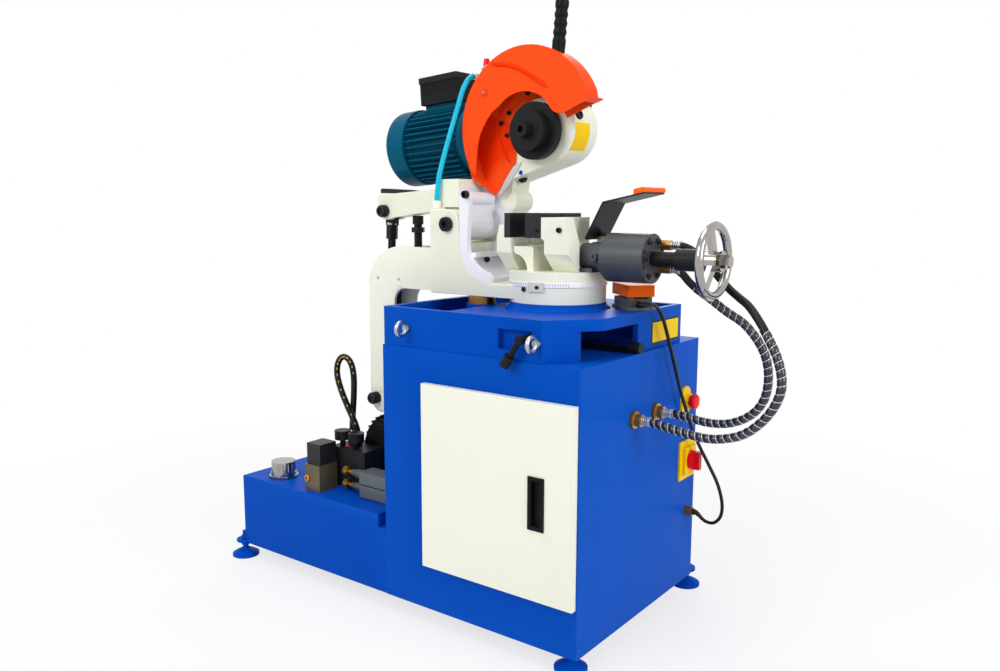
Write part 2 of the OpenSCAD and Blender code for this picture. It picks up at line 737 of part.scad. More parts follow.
module breather_cap() {
    flutes = 18;
    cap_r = 35;
    color("gainsboro") translate([cap_at[0], cap_at[1], tank_z1]) {
        cylinder(d = 84, h = 7);
        translate([0, 0, 7]) cylinder(d = 74, h = 9);
        difference() {
            translate([0, 0, 16]) cylinder(r = cap_r, h = 32);
            for (k = [0:flutes - 1]) rotate([0, 0, 360 * k / flutes]) translate([cap_r + 1.5, 0, 20])
                cylinder(d = 6, h = 24, $fn = 12);
        }
        translate([0, 0, -8]) cylinder(d = filler_d - 2, h = 8);
    }
}

module manifold_block() {
    color("darkolivegreen") translate([manifold_at[0], manifold_at[1], tank_z1]) difference() {
        cube(manifold);
        translate([10, -1, 34]) rotate([-90, 0, 0]) cylinder(d = 9, h = 12);
    }
}

// Directional valves with their solenoids and two pressure gauges
module valve_stack() {
    x = valve_at[0];
    y = valve_at[1];
    size = valve_size;
    color("dimgray") {
        translate([x, y, tank_z1]) cube([size[0], size[1], size[2]]);
        slab([manifold_at[0] + 4, manifold_at[1] + 6, tank_z1 + manifold[2]],
            [manifold_at[0] + manifold[0] - 2, manifold_at[1] + manifold[1], tank_z1 + manifold[2] + 60]);
        for (g = gauge_at) {
            bar_z(g[0], g[1], tank_z1 + size[2], tank_z1 + size[2] + 18, 16);
            bar_z(g[0], g[1], tank_z1 + size[2] + 18, tank_z1 + size[2] + 44, 46);
        }
        for (end = [route_pump[0], route_pump[len(route_pump) - 1]])
            bar_z(end[0], end[1], tank_z1 + size[2], end[2], pump_hose_d + 6);
    }
}

// Two stacked flow-control valves with their union nuts
module flow_valves() {
    half = 17;
    color("slategray") for (z = flow_z) {
        slab([flow_x0, flow_y - 26, z - half], [flow_x1, flow_y + 26, z + half]);
        bar_x(flow_x0 - 30, flow_x0, flow_y, z, 26);
        bar_x(flow_x0 - 52, flow_x0 - 30, flow_y, z, 18);
    }
    color("slategray") slab([flow_x0 + 40, flow_y - 20, tank_z1], [flow_x1 - 10, flow_y + 20, flow_z[0] - half]);
    color("slategray") slab([flow_x0 + 40, flow_y - 20, flow_z[0] + half], [flow_x1 - 10, flow_y + 20, flow_z[1] - half]);
}

module flow_knob(z) {
    x1 = flow_x0 - 52 - run_gap;
    color("goldenrod") {
        bar_x(flow_knob_x, flow_knob_x + 16, flow_y, z, 26);
        bar_x(flow_knob_x + 16, x1, flow_y, z, 12);
    }
}

module flow_knob_lower() {
    flow_knob(flow_z[0]);
}

module flow_knob_upper() {
    flow_knob(flow_z[1]);
}

// Finned pump motor on its foot, axis along Y
module pump_motor() {
    fins = 28;
    core = pump_r - 12;
    foot_w = 60;
    color("dimgray") {
        bar_y(pump_at[0], pump_y[0], pump_y[1], pump_at[1], 2 * core);
        bar_y(pump_at[0], pump_y[0] - 14, pump_y[0], pump_at[1], 2 * core - 24);
        bar_y(pump_at[0], pump_y[1], pump_y[1] + 50, pump_at[1], 2 * pump_r - 8);
        for (k = [0:fins - 1]) translate([pump_at[0], 0, pump_at[1]]) rotate([0, 360 * (k + 0.5) / fins, 0])
            slab([-1.5, pump_y[0] + 10, core - 4], [1.5, pump_y[1] - 8, pump_r]);
        slab([pump_at[0] - foot_w, pump_y[0] + 40, tank_z1], [pump_at[0] + foot_w, pump_y[1] - 40, pump_at[1] - core + 22]);
    }
}

// Hoses and cable
module pump_hose() {
    color("black") hose(route_pump, pump_hose_d);
}

module vise_hose_upper() {
    color("black") hose(route_upper, hose_d);
}

module vise_hose_lower() {
    color("black") hose(route_lower, hose_d);
}

module foot_cable() {
    color("black") hose(route_cable, cable_d, 8);
}

// Door

door_x1 = cab_x1 - 3;
door_x0 = door_x1 - door_w;
door_z0 = foot_h + door_sill;
door_y1 = cab_y0 - 0.6;
door_axis = [door_x0 + door_t / 2, door_y1 - door_t / 2];
pull_x0 = door_x1 - 115;
pull_z0 = door_z0 + 171;
pull_w = 36;
pull_h = 116;

module door() {
    skin = 2;
    edge_r = 3;
    pin_r = door_y1 - door_axis[1];
    color("ivory") difference() {
        translate([0, 0, door_z0]) linear_extrude(door_h) polygon(concat(
            arc(door_axis, pin_r, 90, 180, 8),
            arc([door_x0 + edge_r, door_y1 - door_t + edge_r], edge_r, 180, 270, 6),
            [[door_x1, door_y1 - door_t], [door_x1, door_y1]]));
        slab([door_x0 + 18, door_y1 - door_t + skin, door_z0 + skin],
            [door_x1 - skin, door_y1 + 1, door_z0 + door_h - skin]);
        slab([pull_x0, door_y1 - door_t - 1, pull_z0], [pull_x0 + pull_w, door_y1 + 1, pull_z0 + pull_h]);
    }
}

// Flush pull: a frame round a recessed cup
module door_pull() {
    lip = 3;
    cup = 12;
    front = door_y1 - door_t;
    color("black") difference() {
        union() {
            slab([pull_x0 - 4, front - lip, pull_z0 - 4], [pull_x0 + pull_w + 4, front, pull_z0 + pull_h + 4]);
            slab([pull_x0, front, pull_z0], [pull_x0 + pull_w, front + cup, pull_z0 + pull_h]);
        }
        slab([pull_x0 + 6, front - lip - 1, pull_z0 + 6], [pull_x0 + pull_w - 6, front + cup - 3, pull_z0 + pull_h - 6]);
    }
}

// Swivelling column

module column_outline() {
    polygon(concat([[column_x0, arm_z0], [swivel_x - 20, arm_z0], [swivel_x - 20, disc_z1],
        [column_x1 + arch_r, disc_z1]],
        arc([column_x1 + arch_r, disc_z1 + arch_r], arch_r, 270, 180),
        arc([pivot_x, pivot_z], ear_r, 0, 90),
        [[column_x0, pivot_z + ear_r]]));
}

module swivel_base() {
    disc_z0 = boss_z1;
    color("ivory") difference() {
        union() {
            along_y(ear_y0, ear_y1) column_outline();
            bar_z(swivel_x, swivel_y, disc_z0, disc_z1, 2 * table_r);
        }
        slab([column_x0 - 1, slot_y0, pivot_z - hub_r - 6], [column_x1 + 4, slot_y1, pivot_z + 2 * ear_r]);
        bar_z(swivel_x, swivel_y, disc_z0 - 1, disc_z1 + 1, post_d + 2 * run_gap);
        bar_y(pivot_x, ear_y0 - 1, ear_y1 + 1, pivot_z, hinge_d);
    }
}

module hinge_pin() {
    color("dimgray") {
        bar_y(pivot_x, ear_y0, ear_y1, pivot_z, hinge_d);
        difference() {
            bar_y(pivot_x, ear_y0 - 12, ear_y0, pivot_z, 36);
            translate([pivot_x, ear_y0 - 13, pivot_z]) rotate([-90, 0, 0]) cylinder(d = 18, h = 9, $fn = 6);
        }
    }
}

// Outline of a feed bracket plate: horizontal top, rounded shoulder and a leg with a round foot
module bracket_outline() {
    leg_half = 23;
    leg_x0 = feed_pin_x - leg_half;
    leg_x1 = feed_pin_x + leg_half + 48;
    top_z = pivot_z - 64;
    shoulder = 120;
    under_z = pivot_z - 178;
    arch = 42;
    foot_r = 42;
    polygon(concat([[column_x0, under_z], [column_x0, top_z]],
        arc([leg_x0 + shoulder, top_z - shoulder], shoulder, 90, 180),
        arc([leg_x0 + foot_r, feed_pin_z], foot_r, 180, 300, 12),
        [[leg_x1, feed_pin_z + 60]],
        arc([leg_x1 + arch, under_z - arch], arch, 180, 90, 10)));
}

module feed_bracket() {
    hole_d = 9;
    holes = [[-296, pivot_z - 155], [-217, pivot_z - 155]];
    color("ivory") for (y0 = [feed_y - bracket_half, feed_y + bracket_half - plate_t]) difference() {
        along_y(y0, y0 + plate_t) bracket_outline();
        bar_y(feed_pin_x, y0 - 1, y0 + plate_t + 1, feed_pin_z, feed_pin_d + 2 * run_gap);
        for (h = holes) bar_y(h[0], y0 - 1, y0 + plate_t + 1, h[1], hole_d);
    }
}

// Cross block between the bracket plates with the rod that stops the raised head
module stop_post() {
    block_z1 = pivot_z - 110;
    lever_under = pivot_z + 22;
    inner = bracket_half - plate_t;
    color("dimgray") {
        slab([stop_x - 20, feed_y - inner, block_z1 - 40], [stop_x + 20, feed_y + inner, block_z1]);
        bar_z(stop_x, feed_y, block_z1, lever_under - 26, stop_d);
        translate([stop_x, feed_y, lever_under - 48]) cylinder(d = 38, h = 14, $fn = 6);
        bar_z(stop_x, feed_y, lever_under - 26, lever_under - run_gap - 2, 30);
    }
}

// Cast chip trough between column and table: two cheeks joined by a curved floor and a ledge
module trough_cheek(y0, y1, top_z, wide) {
    lip = 14;
    along_y(y0, y1) difference() {
        polygon(concat([[column_x1 + wide, top_z], [column_x1, top_z]],
            arc([column_x1 + arch_r, disc_z1 + arch_r], arch_r - run_gap, 180, 262),
            [[swivel_x - table_r - 14, disc_z1 + run_gap], [swivel_x - table_r - 14, disc_z1 + 16]],
            arc([column_x1 + arch_r + 4, disc_z1 + arch_r + 6], arch_r - wide + 10, 262, 180)));
    }
}

module chip_trough() {
    front_y0 = ear_y0;
    front_y1 = ear_y0 + 15;
    back_y0 = guard_y1 + 4;
    back_y1 = back_y0 + 12;
    boss_r = 17;
    boss_z = pivot_z + 65;
    ledge_z = disc_z1 + 62;
    floor_t = 10;
    keep_r = table_r + 6;
    color("lightgray") difference() {
        union() {
            trough_cheek(front_y0, front_y1, pivot_z + 40, 30);
            trough_cheek(back_y0, back_y1, pivot_z + 40, 60);
            bar_y(column_x1 + 15, front_y0, front_y1, boss_z, 2 * boss_r);
            along_y(front_y0, front_y1) polygon([[column_x1, pivot_z + 30], [column_x1 + 30, pivot_z + 30],
                [column_x1 + 31, boss_z], [column_x1 - 1, boss_z]]);
            along_y(front_y1 - 1, back_y0 + 1) polygon(concat(
                arc([column_x1 + arch_r, disc_z1 + arch_r], arch_r - run_gap, 200, 262),
                arc([column_x1 + arch_r, disc_z1 + arch_r], arch_r - floor_t, 262, 200)));
            slab([column_x1 + 6, front_y1 - 1, ledge_z], [column_x1 + 40, back_y0 + 1, ledge_z + 12]);
        }
        bar_y(pivot_x, slot_y0, slot_y1, pivot_z, 2 * 69);
        bar_z(swivel_x, swivel_y, disc_z1 - 1, table_z1 + 2, 2 * keep_r);
        bar_z(swivel_x, swivel_y, table_z1 + 1, pivot_z + 200, 2 * 158);
    }
}

// Head

case_top = worm_w + 63.5;

module case_outline() {
    polygon(concat([[motor_u, -135]], arc([14, 6], 87, -72, 62, 14),
        [[-40, case_top - 12], [-70, case_top], [motor_u + 30, case_top], [motor_u, case_top - 30]]));
}

module case_cavity() {
    circle(r = cavity_r);
    translate([motor_u + 10, worm_w - worm_r - 4]) square([-motor_u + 70, 2 * worm_r + 8]);
}

// Chamber of the pinion and the gear, deeper than the rest of the case
module gear_chamber() {
    along_y(case_y0 + 8, case_y1 + 1) translate([motor_u + 10, motor_w - pinion_r - 4])
        square([34, worm_w - motor_w + pinion_r + gear_r + 8]);
}

module head_arm_outline() {
    lug = [pivot_x + 80, pivot_z + 59];
    polygon(concat(arc([pivot_x, pivot_z], hub_r, 170, 300, 14), arc(lug, 30, -60, 60, 8),
        [[lug[0] + 20, pivot_z + 120], [2, pivot_z + 120]]));
}

module lever_outline() {
    polygon([[lever_pin_x - 26, pivot_z + 76], [-45, pivot_z + 94], [-20, pivot_z + 94], [-20, pivot_z + 20],
        [-111, pivot_z + 32], [lever_pin_x + 26, pivot_z + 14], [lever_pin_x + 10, pivot_z + 8],
        [lever_pin_x - 14, pivot_z + 12], [lever_pin_x - 26, pivot_z + 34]]);
}

module head_casting() {
    block_y0 = ear_y0 + 26;
    block_y1 = case_y1 - 5;
    block_z0 = pivot_z + ear_r + 5;
    arm_y0 = case_y0 + 18;
    bar_at = [pivot_x + 38, pivot_z + 65];
    color("ivory") difference() {
        union() {
            bar_y(pivot_x, slot_y0 + hub_gap, slot_y1 - hub_gap, pivot_z, 2 * hub_r);
            slab([-45, block_y0, block_z0], [22, block_y1, pivot_z + 114]);
            slab([-36, slot_y0 + hub_gap, pivot_z], [pivot_x + hub_r - 4, slot_y1 - hub_gap, block_z0 + 10]);
            along_y(feed_y - lever_half, feed_y + lever_half) lever_outline();
            bar_y(bar_at[0], block_y0, guard_y1, bar_at[1], 32);
            difference() {
                along_y(arm_y0, case_y1 - 10) head_arm_outline();
                bar_y(pivot_x, slot_y1 - hub_gap, case_y1, pivot_z, 2 * 60);
            }
            on_case() along_y(case_y0, case_y1) case_outline();
        }
        on_case() along_y(case_floor_y, case_y1 + 1) case_cavity();
        on_case() gear_chamber();
        on_case() bar_y(0, case_y0 - 1, case_floor_y + 1, 0, spindle_d + 2 * run_gap);
        on_case() bar_x(motor_u - 1, motor_u + 12, drive_y, motor_w, 60);
        bar_y(pivot_x, slot_y0, slot_y1, pivot_z, hinge_d + 2 * run_gap);
        slab([lever_pin_x - 60, feed_y - clevis_half, pivot_z - 20], [lever_pin_x + 44, feed_y + clevis_half, pivot_z + 130]);
        bar_y(lever_pin_x, feed_y - lever_half - 1, feed_y + lever_half + 1, lever_pin_z, feed_pin_d + 2 * run_gap);
    }
}

// Rear cover of the gear case, with the rear spindle bearing and its screws
module gear_cover() {
    rim = 10;
    color("ivory") on_case() difference() {
        union() {
            along_y(case_y1, case_y1 + cover_t) offset(delta = -rim) case_outline();
            bar_y(0, case_y1 + cover_t, case_y1 + cover_t + 14, 0, 2 * spindle_d);
        }
        bar_y(0, case_y1 - 1, case_y1 + cover_t + 6, 0, spindle_d + 2 * run_gap);
    }
}

// Guard shell about a centre set back from the spindle: front plate, back plate and rim
guard_c = [-17, 10];
nose = [164, 62];
tail_bend = [-178, -112];
tail_tip = [-139, -155];

module guard_front() {
    polygon(concat([nose], arc(guard_c, guard_r, 24, 214, 48), [[-168, -104], [-166, -84], [-163, -60],
        [-160, -32], [-154, -8], [-144, 12], [-130, 33], [-114, 50]], arc([-20, -8], 102, 135, 50, 18),
        arc([90, 72], 37, 215, 300, 12)));
}

module guard_back() {
    inner = flange_d / 2 + 12;
    polygon(concat([[77, 29], nose], arc(guard_c, guard_r, 24, 206, 46), [tail_bend, tail_tip, [-87, -88], [-75, -75]],
        arc([0, 0], inner, 208, 24, 24)));
}

module guard_rim(t) {
    polygon(concat([nose], arc(guard_c, guard_r, 24, 206, 46), [tail_bend, tail_tip, tail_tip + [t, t],
        tail_bend + [t, t / 2]], arc(guard_c, guard_r - t, 206, 24, 46), [nose + [-t, -1]]));
}

module saw_guard() {
    lip = 12;
    color("orangered") translate([spindle_x, 0, spindle_z]) {
        along_y(guard_y0, guard_y0 + guard_t) guard_front();
        along_y(guard_y1 - guard_t, guard_y1) guard_back();
        difference() {
            along_y(guard_y0, guard_y1) guard_rim(guard_t);
            translate([-170, guard_y0 - 1, -106]) rotate([0, 45, 0]) rotate([0, 0, 40])
                translate([0, -80, -60]) cube([120, 80, 120]);
        }
        along_y(guard_y0, guard_y1) polygon([nose + [-8, -4], nose + [lip, 3], nose + [lip, 3 + guard_t], nose + [-4, 4]]);
    }
}

// Feed handle: stem rising from the guard's rim and a grip with finger swells
module feed_handle() {
    lean = 5;
    foot_x = 66;
    grip_l = 112;
    r = grip_d / 2;
    foot_z = guard_c[1] + sqrt(guard_r * guard_r - pow(foot_x - r - guard_c[0], 2)) + 1;
    color("black") translate([spindle_x, blade_y, spindle_z]) difference() {
        translate([foot_x, 0, foot_z]) rotate([0, lean, 0]) rotate_extrude() polygon(concat([[0, -16], [r - 1, -16]],
            [for (i = [0:24]) [r - 1.2 + 1.2 * cos(360 * i / 6), 14 + (grip_l - 32) * i / 24]],
            arc([r - 10, grip_l - 10], 10, 0, 90, 6), [[0, grip_l]]));
        translate([guard_c[0], 0, guard_c[1]]) rotate([90, 0, 0]) cylinder(r = guard_r + 0.1, h = 80, center = true);
    }
}

// Finned motor frame with its feet pads, end shields and the fan cowl
module motor_frame() {
    flange_l = 14;
    shield_l = 18;
    u0 = motor_u - motor_l;
    u_cowl = u0 + cowl_l;
    fin_t = 2.6;
    vents = 12;
    color("teal") on_case() translate([0, drive_y, motor_w]) {
        difference() {
            union() {
                bar_x(motor_u - flange_l, motor_u, 0, 0, 2 * motor_r - 8);
                bar_x(motor_u - flange_l - shield_l, motor_u - flange_l, 0, 0, 2 * motor_core_r + 8);
                bar_x(u_cowl - 4, motor_u - flange_l - shield_l, 0, 0, 2 * motor_core_r);
                for (k = [0:motor_fins - 1]) rotate([360 * (k + 0.5) / motor_fins, 0, 0])
                    slab([u_cowl + 6, -fin_t / 2, motor_core_r - 4], [motor_u - flange_l - shield_l - 4, fin_t / 2, motor_r - 3]);
                slab([u_cowl + 34, -34, motor_core_r - 6], [u_cowl + 156, 34, motor_r + 2]);
            }
            bar_x(u_cowl - 5, motor_u - flange_l - 12, 0, 0, 2 * motor_bore_r);
            bar_x(motor_u - flange_l - 13, motor_u + 1, 0, 0, 44);
        }
        difference() {
            translate([u0, 0, 0]) rotate([0, 90, 0]) rotate_extrude()
                polygon(concat([[0, 0]], arc([motor_r - 16, 16], 16, 270, 360, 8), [[motor_r, cowl_l], [0, cowl_l]]));
            translate([u0, 0, 0]) rotate([0, 90, 0]) rotate_extrude()
                polygon(concat([[0, 4]], arc([motor_r - 16, 16], 12, 270, 360, 8),
                    [[motor_r - 4, cowl_l - 8], [0, cowl_l - 8]]));
            translate([u_cowl - 9, 0, 0]) rotate([0, 90, 0]) cylinder(r = motor_core_r, h = 20);
            for (k = [0:vents - 1]) rotate([360 * k / vents, 0, 0])
                slab([u0 - 1, -4, 24], [u0 + 4, 4, motor_r - 30]);
        }
    }
}

module terminal_box() {
    u0 = motor_u - motor_l + cowl_l + 30;
    base = motor_w + motor_r + 2;
    size = [130, 100, 74];
    color("black") on_case() {
        slab([u0, drive_y - size[1] / 2, base], [u0 + size[0], drive_y + size[1] / 2, base + size[2] - 16]);
        slab([u0 - 2, drive_y - size[1] / 2 - 2, base + size[2] - 16],
            [u0 + size[0] + 2, drive_y + size[1] / 2 + 2, base + size[2]]);
    }
}

// Coolant tap on the gear case, upright to its top, with the spout towards the operator
valve_u = -186;
valve_y = 4;

module coolant_valve() {
    color("goldenrod") on_case() translate([valve_u, valve_y, case_top]) difference() {
        union() {
            cylinder(d = 26, h = 5);
            cylinder(d = 18, h = 30);
            translate([0, 0, 9]) cylinder(d = 22, h = 31);
            bar_y(0, -50, 0, 18, 14);
        }
        translate([0, 0, 28]) cylinder(d = 10 + 2 * run_gap, h = 13);
    }
}

module coolant_knob() {
    color("crimson") on_case() translate([valve_u, valve_y, case_top]) {
        translate([0, 0, 30]) cylinder(d = 10, h = 14);
        translate([0, 0, 40 + run_gap]) cylinder(d1 = 24, d2 = 14, h = 28, $fn = 48);
    }
}

module coolant_hose() {
    color("deepskyblue") hose(route_coolant, coolant_d);
}

// Drive

module spindle() {
    wheel_w = 40;
    color("silver") on_case() {
        bar_y(0, flange_y1, case_y1 + cover_t + 4, 0, spindle_d);
        bar_y(0, drive_y - wheel_w / 2, drive_y + wheel_w / 2, 0, 2 * wheel_r);
    }
}

// Rear flange, clamping disc and socket bolt that hold the blade
module blade_flange() {
    y0 = blade_y - 10;
    color("dimgray") on_case() {
        bar_y(0, y0, flange_y1, 0, flange_d);
        bar_y(0, y0 - 30, y0, 0, hub_disc_d);
        difference() {
            bar_y(0, y0 - 54, y0 - 30, 0, nut_d);
            translate([0, y0 - 55, 0]) rotate([-90, 0, 0]) cylinder(d = 18, h = 14, $fn = 6);
        }
    }
}

module motor_rotor() {
    u0 = motor_u - motor_l;
    blades = 8;
    color("silver") on_case() translate([0, drive_y, motor_w]) {
        bar_x(u0 + 14, motor_u + 40, 0, 0, 26);
        bar_x(u0 + cowl_l + 16, motor_u - 40, 0, 0, 2 * motor_bore_r - 8);
        bar_x(motor_u + 14, motor_u + 40, 0, 0, 2 * pinion_r);
        bar_x(u0 + 14, u0 + 20, 0, 0, 120);
        for (k = [0:blades - 1]) rotate([360 * k / blades, 0, 0])
            slab([u0 + 18, -2, 10], [u0 + cowl_l - 20, 2, motor_core_r - 10]);
    }
}

module worm_shaft() {
    color("silver") on_case() {
        bar_x(motor_u + 12, 62, drive_y, worm_w, 24);
        bar_x(-46, 46, drive_y, worm_w, 2 * worm_r);
        bar_x(motor_u + 14, motor_u + 38, drive_y, worm_w, 2 * gear_r);
    }
}

// Feed cylinder

module feed_barrel() {
    color("dimgray") on_feed() difference() {
        union() {
            translate([0, 0, 34]) cylinder(d = feed_d, h = barrel_top - 34);
            translate([0, 0, barrel_top - 18]) cylinder(d = feed_d + 8, h = 18);
            slab([-20, -clevis_half, 0], [20, clevis_half, 44]);
            bar_y(0, -clevis_half, clevis_half, 0, 44);
            bar_y(0, -bracket_half - 12, bracket_half + 8, 0, feed_pin_d);
            bar_y(0, -bracket_half - 20, -bracket_half - run_gap, 0, 34);
        }
        translate([0, 0, barrel_floor]) cylinder(d = feed_rod_d + 12, h = barrel_top);
    }
}

module feed_rod() {
    eye_half = clevis_half - 1;
    color("silver") on_feed() {
        translate([0, 0, feed_len - rod_reach]) cylinder(d = feed_rod_d, h = rod_reach - 18);
        translate([0, 0, feed_len - 78]) cylinder(d = 34, h = 40, $fn = 6);
        slab([-14, -eye_half, feed_len - 40], [14, eye_half, feed_len]);
        bar_y(0, -eye_half, eye_half, feed_len, 40);
        bar_y(0, -lever_half - 2, lever_half + 4, feed_len, feed_pin_d);
        bar_y(0, -lever_half - 16, -lever_half - run_gap, feed_len, 34);
    }
}

// Moving half of the vise

module vise_piston() {
    color("silver") difference() {
        bar_x(piston_x0, piston_x0 + piston_w, swivel_y, vise_z, cyl_d - 2 * cyl_wall - 2 * run_gap);
        bar_x(piston_x0 - 1, piston_x0 + piston_w + 1, swivel_y, vise_z, screw_d + 2 * run_gap);
    }
}

module vise_screw() {
    collar_d = sleeve_d - 4;
    end_x = wheel_x + hub_l / 2;
    color("dimgray") {
        bar_x(screw_x0, end_x, swivel_y, vise_z, screw_d);
        bar_x(piston_x0 - collar_w - run_gap, piston_x0 - run_gap, swivel_y, vise_z, collar_d);
        bar_x(piston_x0 + piston_w + run_gap, sleeve_x1, swivel_y, vise_z, sleeve_d);
        bar_x(sleeve_x1, wheel_x - hub_l / 2, swivel_y, vise_z, grip_collar_d);
    }
}

// Handwheel: dished spokes between a round rim and the hub, and its end nut
module handwheel() {
    spokes = 3;
    ring_r0 = (wheel_d - rim_d) / 2;
    dish = 10;
    color("gainsboro") translate([wheel_x, swivel_y, vise_z]) {
        difference() {
            union() {
                rotate([0, 90, 0]) rotate_extrude() translate([ring_r0, 0]) circle(d = rim_d);
                bar_x(-hub_l / 2, hub_l / 2, 0, 0, wheel_hub_d);
                for (k = [0:spokes - 1]) rotate([120 * k + 20, 0, 0])
                    slab([-dish / 2 - 1, -11, 10], [dish / 2 + 1, 11, ring_r0 - 2]);
            }
            bar_x(-hub_l, hub_l, 0, 0, screw_d + 0.2);
        }
        translate([hub_l / 2, 0, 0]) rotate([0, 90, 0]) cylinder(d = 30, h = nut_l, $fn = 6);
    }
}

module jaw_right() {
    front_y1 = jaw_y0 + 48;
    slope_x = carrier_x0 + 78;
    low_x = carrier_x0 + 9;
    mid_x = carrier_x0 + 25;
    base_z = table_z1 + slide_gap;
    color("ivory") difference() {
        union() {
            along_y(jaw_y0, front_y1) polygon([[low_x, base_z], [low_x, jaw_z0 - 6], [carrier_x0, jaw_z0],
                [carrier_x0, jaw_z1 - 10], [carrier_x0 + 58, jaw_z1 - 10], [slope_x, vise_z + 32], [slope_x, base_z]]);
            along_y(front_y1 - 1, jaw_y1) polygon([[low_x, base_z], [low_x, jaw_z0 - 6], [carrier_x0, jaw_z0],
                [carrier_x0, jaw_z1 - 10], [mid_x, jaw_z1 - 10], [mid_x, base_z]]);
            bar_x(mid_x - 1, hub_x1, swivel_y, vise_z, hub_d);
        }
        jaw_slot(carrier_x0 - 1, slope_x + 1);
        jaw_undercut(carrier_x0 - 1, slope_x + 1);
        bar_x(rod_x0, hub_x1 + 1, swivel_y, vise_z, rod_d);
    }
}

module jaw_right_plates() {
    color("dimgray") plates(jaw_right_x, carrier_x0);
}

module vise_rod() {
    color("dimgray") difference() {
        bar_x(rod_x0, rod_x1, swivel_y, vise_z, rod_d);
        bar_x(rod_x0 + rod_end_t, rod_x1 + 1, swivel_y, vise_z, screw_d + 2 * run_gap);
    }
}

// Levers

module swivel_lock_lever() {
    neck_post_d = post_d - 16;
    width = 18;
    color("dimgray") difference() {
        union() {
            bar_z(swivel_x, swivel_y, lock_z0, lock_z0 + lock_t, lock_hub_d);
            slab([swivel_x, swivel_y - width / 2, lock_z0], [swivel_x + lock_reach - 14, swivel_y + width / 2, lock_z0 + lock_t - 3]);
            bar_x(swivel_x + lock_reach - 20, swivel_x + lock_reach + 12, swivel_y, lock_z0 + lock_t - 4, 26);
        }
        bar_z(swivel_x, swivel_y, lock_z0 - 1, lock_z0 + lock_t + 1, neck_post_d + 2 * run_gap);
    }
}

module index_lever() {
    at = [pocket_x1 - 16, pocket_z0 + 28];
    bed_y = tray_y0 + pocket_deep;
    color("black") translate([at[0], 0, at[1]]) {
        bar_y(0, bed_y - 46, bed_y - run_gap, 0, 20);
        rotate([0, 35, 0]) {
            bar_z(0, bed_y - 40, -52, 0, 14);
            bar_z(0, bed_y - 40, -74, -46, 24);
        }
    }
}

cabinet();
oil_tank();
feet();
tray_casting();
eye_bolts();
slide_pad();
vise_table();
jaw_left();
jaw_left_plates();
vise_cylinder();
chip_deflector();
coolant_unit();
electric_panel();
foot_switch_base();
switch_plates();
hose_fittings();
breather_cap();
manifold_block();
valve_stack();
flow_valves();
pump_motor();
pump_hose();
vise_hose_upper();
vise_hose_lower();
foot_cable();
door();
door_pull();
swivel_base();
hinge_pin();
feed_bracket();
stop_post();
chip_trough();
head_casting();
gear_cover();
saw_guard();
feed_handle();
motor_frame();
terminal_box();
coolant_valve();
coolant_hose();
spindle();
blade_flange();
motor_rotor();
worm_shaft();
feed_barrel();
feed_rod();
vise_piston();
vise_screw();
handwheel();
jaw_right();
jaw_right_plates();
vise_rod();
swivel_lock_lever();
index_lever();
estop_button();
main_switch_knob();
foot_pedal();
coolant_knob();
flow_knob_upper();
flow_knob_lower();
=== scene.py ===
"""Cold saw: camera, studio, finishes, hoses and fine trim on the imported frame. Lengths are in mm."""
import json
import math

import bmesh
import bpy
from mathutils import Matrix, Vector
from mathutils.bvhtree import BVHTree


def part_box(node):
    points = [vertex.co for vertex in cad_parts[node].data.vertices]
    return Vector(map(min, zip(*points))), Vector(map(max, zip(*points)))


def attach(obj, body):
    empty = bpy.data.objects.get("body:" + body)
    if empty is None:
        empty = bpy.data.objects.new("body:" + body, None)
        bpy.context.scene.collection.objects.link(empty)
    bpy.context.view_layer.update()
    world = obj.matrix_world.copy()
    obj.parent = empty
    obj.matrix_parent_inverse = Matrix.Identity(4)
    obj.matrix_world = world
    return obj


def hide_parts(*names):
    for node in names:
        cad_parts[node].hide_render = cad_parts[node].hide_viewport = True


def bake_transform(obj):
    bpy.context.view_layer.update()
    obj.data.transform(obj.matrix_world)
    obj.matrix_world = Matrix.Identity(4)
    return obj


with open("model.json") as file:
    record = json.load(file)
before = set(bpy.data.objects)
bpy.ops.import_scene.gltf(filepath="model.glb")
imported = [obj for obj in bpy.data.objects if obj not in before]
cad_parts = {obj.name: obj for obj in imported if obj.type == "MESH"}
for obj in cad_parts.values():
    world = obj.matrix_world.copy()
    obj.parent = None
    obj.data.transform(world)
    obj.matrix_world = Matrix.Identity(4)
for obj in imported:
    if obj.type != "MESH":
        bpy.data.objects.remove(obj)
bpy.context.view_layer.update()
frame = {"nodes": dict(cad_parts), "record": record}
nodes = frame["nodes"]
scene = bpy.context.scene
scene.view_settings.view_transform = "Standard"
BODY = {node: body for body, held in frame["record"]["behaviour"]["bodies"].items() for node in held}
MM = 0.001
X, Y, Z = (1, 0, 0), (0, 1, 0), (0, 0, 1)


# Shader nodes: each helper adds one node to a tree and gives its output

def feed(tree, socket, value):
    """A value into a socket: a link where it comes from a node, or else a plain number or colour."""
    if isinstance(value, bpy.types.NodeSocket):
        tree.links.new(value, socket)
    else:
        socket.default_value = value


def maths(tree, operation, first, second):
    """Two numbers put together by a maths node."""
    node = tree.nodes.new("ShaderNodeMath")
    node.operation = operation
    feed(tree, node.inputs[0], first)
    feed(tree, node.inputs[1], second)
    return node.outputs[0]


def spread_over(tree, value, low, high, start=0.0, end=1.0):
    """A number between start and end, spread over low to high."""
    node = tree.nodes.new("ShaderNodeMapRange")
    for name, number in (("From Min", start), ("From Max", end), ("To Min", low), ("To Max", high)):
        node.inputs[name].default_value = number
    tree.links.new(value, node.inputs["Value"])
    return node.outputs["Result"]


def mixed(tree, share, first, second):
    """A colour between two others, by a share from 0 to 1."""
    node = tree.nodes.new("ShaderNodeMix")
    node.data_type = "RGBA"
    for name, value in (("Factor", share), ("A", first), ("B", second)):
        feed(tree, node.inputs[name], value)
    return node.outputs["Result"]


